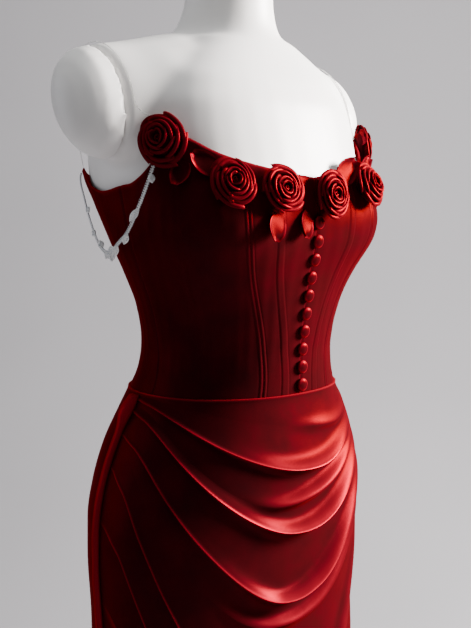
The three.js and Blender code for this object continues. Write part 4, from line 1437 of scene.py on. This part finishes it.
class GemSetter:
    """Geometry Nodes that put a faceted stone on each point of a mesh."""

    def __init__(self) -> None:
        """Build the node tree with its one size input."""
        tree = bpy.data.node_groups.new("set_stones", "GeometryNodeTree")
        sockets = (("Points", "INPUT", "Geometry"), ("Stone Radius", "INPUT", "Float"))
        for name, way, kind in (*sockets, ("Stones", "OUTPUT", "Geometry")):
            tree.interface.new_socket(name, in_out=way, socket_type="NodeSocket" + kind)
        given = node(tree, "NodeGroupInput")
        spots = node(tree, "GeometryNodeMeshToPoints", {"Mesh": given.outputs["Points"]})
        radius = given.outputs["Stone Radius"]
        gem = node(tree, "GeometryNodeMeshIcoSphere", {"Radius": radius}, Subdivisions=1)
        ends = {"Min": (0.0, 0.0, 0.0), "Max": (6.28, 6.28, 6.28)}
        turn = node(tree, "FunctionNodeRandomValue", data_type="FLOAT_VECTOR", Seed=7, **ends)
        fed = {"Points": spots.outputs[0], "Instance": gem.outputs[0], "Rotation": turn.outputs[0]}
        laid = node(tree, "GeometryNodeInstanceOnPoints", fed)
        real = node(tree, "GeometryNodeRealizeInstances", {"Geometry": laid.outputs["Instances"]})
        fed = {"Geometry": real.outputs["Geometry"]}
        flat = node(tree, "GeometryNodeSetShadeSmooth", fed, Shade_Smooth=False)
        fed = {"Geometry": flat.outputs["Geometry"]}
        crystal = Cloths.CRYSTAL.value.material()
        dressed = node(tree, "GeometryNodeSetMaterial", fed, Material=crystal)
        node(tree, "NodeGroupOutput", {"Stones": dressed.outputs["Geometry"]})
        self.tree = tree

    def set(self, name: str, points: Array, radius: float) -> Thing:
        """Set stones of one size on points.

        Args:
            name: The new piece's name.
            points: Where the stones sit, in millimetres.
            radius: The stones' radius, in millimetres.

        Returns:
            The stones as one plain mesh.
        """
        cloud = bpy.data.meshes.new(name + "_points")
        cloud.from_pydata((points * MM).tolist(), [], [])
        holder = place_in_scene(name + "_points", cloud)
        modifier = holder.modifiers.new("stones", "NODES")
        modifier.node_group = self.tree
        key = next(s.identifier for s in self.tree.interface.items_tree if s.name == "Stone Radius")
        modifier[key] = radius * MM
        return plain_copy(holder, name, Cloths.CRYSTAL)


def plain_copy(holder: Thing, name: str, cloth: Cloths) -> Thing:
    """Turn an object's modifiers into a plain mesh and remove the object.

    Args:
        holder: The object with its modifiers.
        name: The new piece's name.
        cloth: What it is made of.

    Returns:
        The plain piece.
    """
    bpy.context.view_layer.update()
    ready = holder.evaluated_get(bpy.context.evaluated_depsgraph_get())
    mesh = bpy.data.meshes.new_from_object(ready)
    mesh.name = name
    bpy.data.objects.remove(holder)
    piece = place_in_scene(name, mesh)
    mesh.materials.clear()
    mesh.materials.append(cloth.value.material())
    return piece


@dataclass(frozen=True)
class DressForm:
    """The moulded torso, its egg-shaped shoulder caps, the pole and the round base."""

    nodes: dict[str, Thing]
    voxel: float = 3.6
    soften: int = 26

    def smooth_shell(self, source: str, name: str, repeat: int) -> None:
        """Blend a node's joined shapes into one soft moulded skin.

        Args:
            source: The part's node.
            name: The new piece's name.
            repeat: How many times the skin is softened.
        """
        holder = place_in_scene(name + "_work", self.nodes[source].data.copy())
        clean(holder, 60)
        skin = holder.modifiers.new("skin", "REMESH")
        skin.mode = "VOXEL"
        skin.voxel_size = self.voxel * MM
        ease = holder.modifiers.new("ease", "SMOOTH")
        ease.factor = 0.5
        ease.iterations = repeat
        piece = plain_copy(holder, name, Cloths.SHELL)
        piece.data.shade_smooth()
        settle(piece, Cloths.SHELL, source)

    def stand(self) -> None:
        """Make the pole and the base with softened edges."""
        low, high = (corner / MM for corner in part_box("stand_pole"))
        radius = (high.x - low.x) / 2
        pole = ((0, low.z), (radius, low.z), (radius, high.z), (0, high.z))
        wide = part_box("stand_base")[1].x / MM
        rim = ((0, 0.0), (wide - 1.0, 0.0), (wide, 1.0), (wide, 4.0), (wide - 1.2, 5.2), (wide * 0.8, 6.6))
        socket = ((42, 9.8), (39, 11.0), (34.5, 22.5), (33, 24.0), (0, 24.0))
        for name, profile in (("stand_pole", pole), ("stand_base", rim + socket)):
            made = Mesh()
            made.lathe(profile, 72)
            made.piece("steel_" + name, Cloths.STEEL, name, smooth=35)

    def make(self) -> None:
        """Make the whole form."""
        self.smooth_shell("form_torso", "dress_form", self.soften)
        for word in SIDES.values():
            self.smooth_shell(f"shoulder_cap_{word}", f"cap_{word}", 8)
        self.stand()


@dataclass(frozen=True)
class Strap:
    """The clear elastic straps over the shoulders, rounded from the part's own."""

    nodes: dict[str, Thing]

    def make(self) -> None:
        """Round each of the part's straps."""
        for word in SIDES.values():
            name = f"clear_strap_{word}"
            holder = place_in_scene("poly_" + name, self.nodes[name].data.copy())
            clean(holder, 80)
            smooth = holder.modifiers.new("round", "SUBSURF")
            smooth.levels = 2
            smooth.render_levels = 2
            settle(plain_copy(holder, "poly_" + name, Cloths.CLEAR), Cloths.CLEAR, name)


def main() -> None:
    """Load the part, then make the camera, the studio and each piece in order."""
    logging.basicConfig(level=logging.INFO, format="%(name)s: %(message)s")
    for old in list(bpy.data.objects):
        bpy.data.objects.remove(old)
    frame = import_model()
    PhotoCamera().make()
    Studio().make()
    Bodice().make()
    Skirt().make()
    for rose in ROSES:
        rose.make()
    for petal in PETALS:
        petal.make()
    Buttons().make()
    Vine().make()
    DressForm(frame["nodes"]).make()
    Strap(frame["nodes"]).make()


if __name__ == "__main__":
    main()
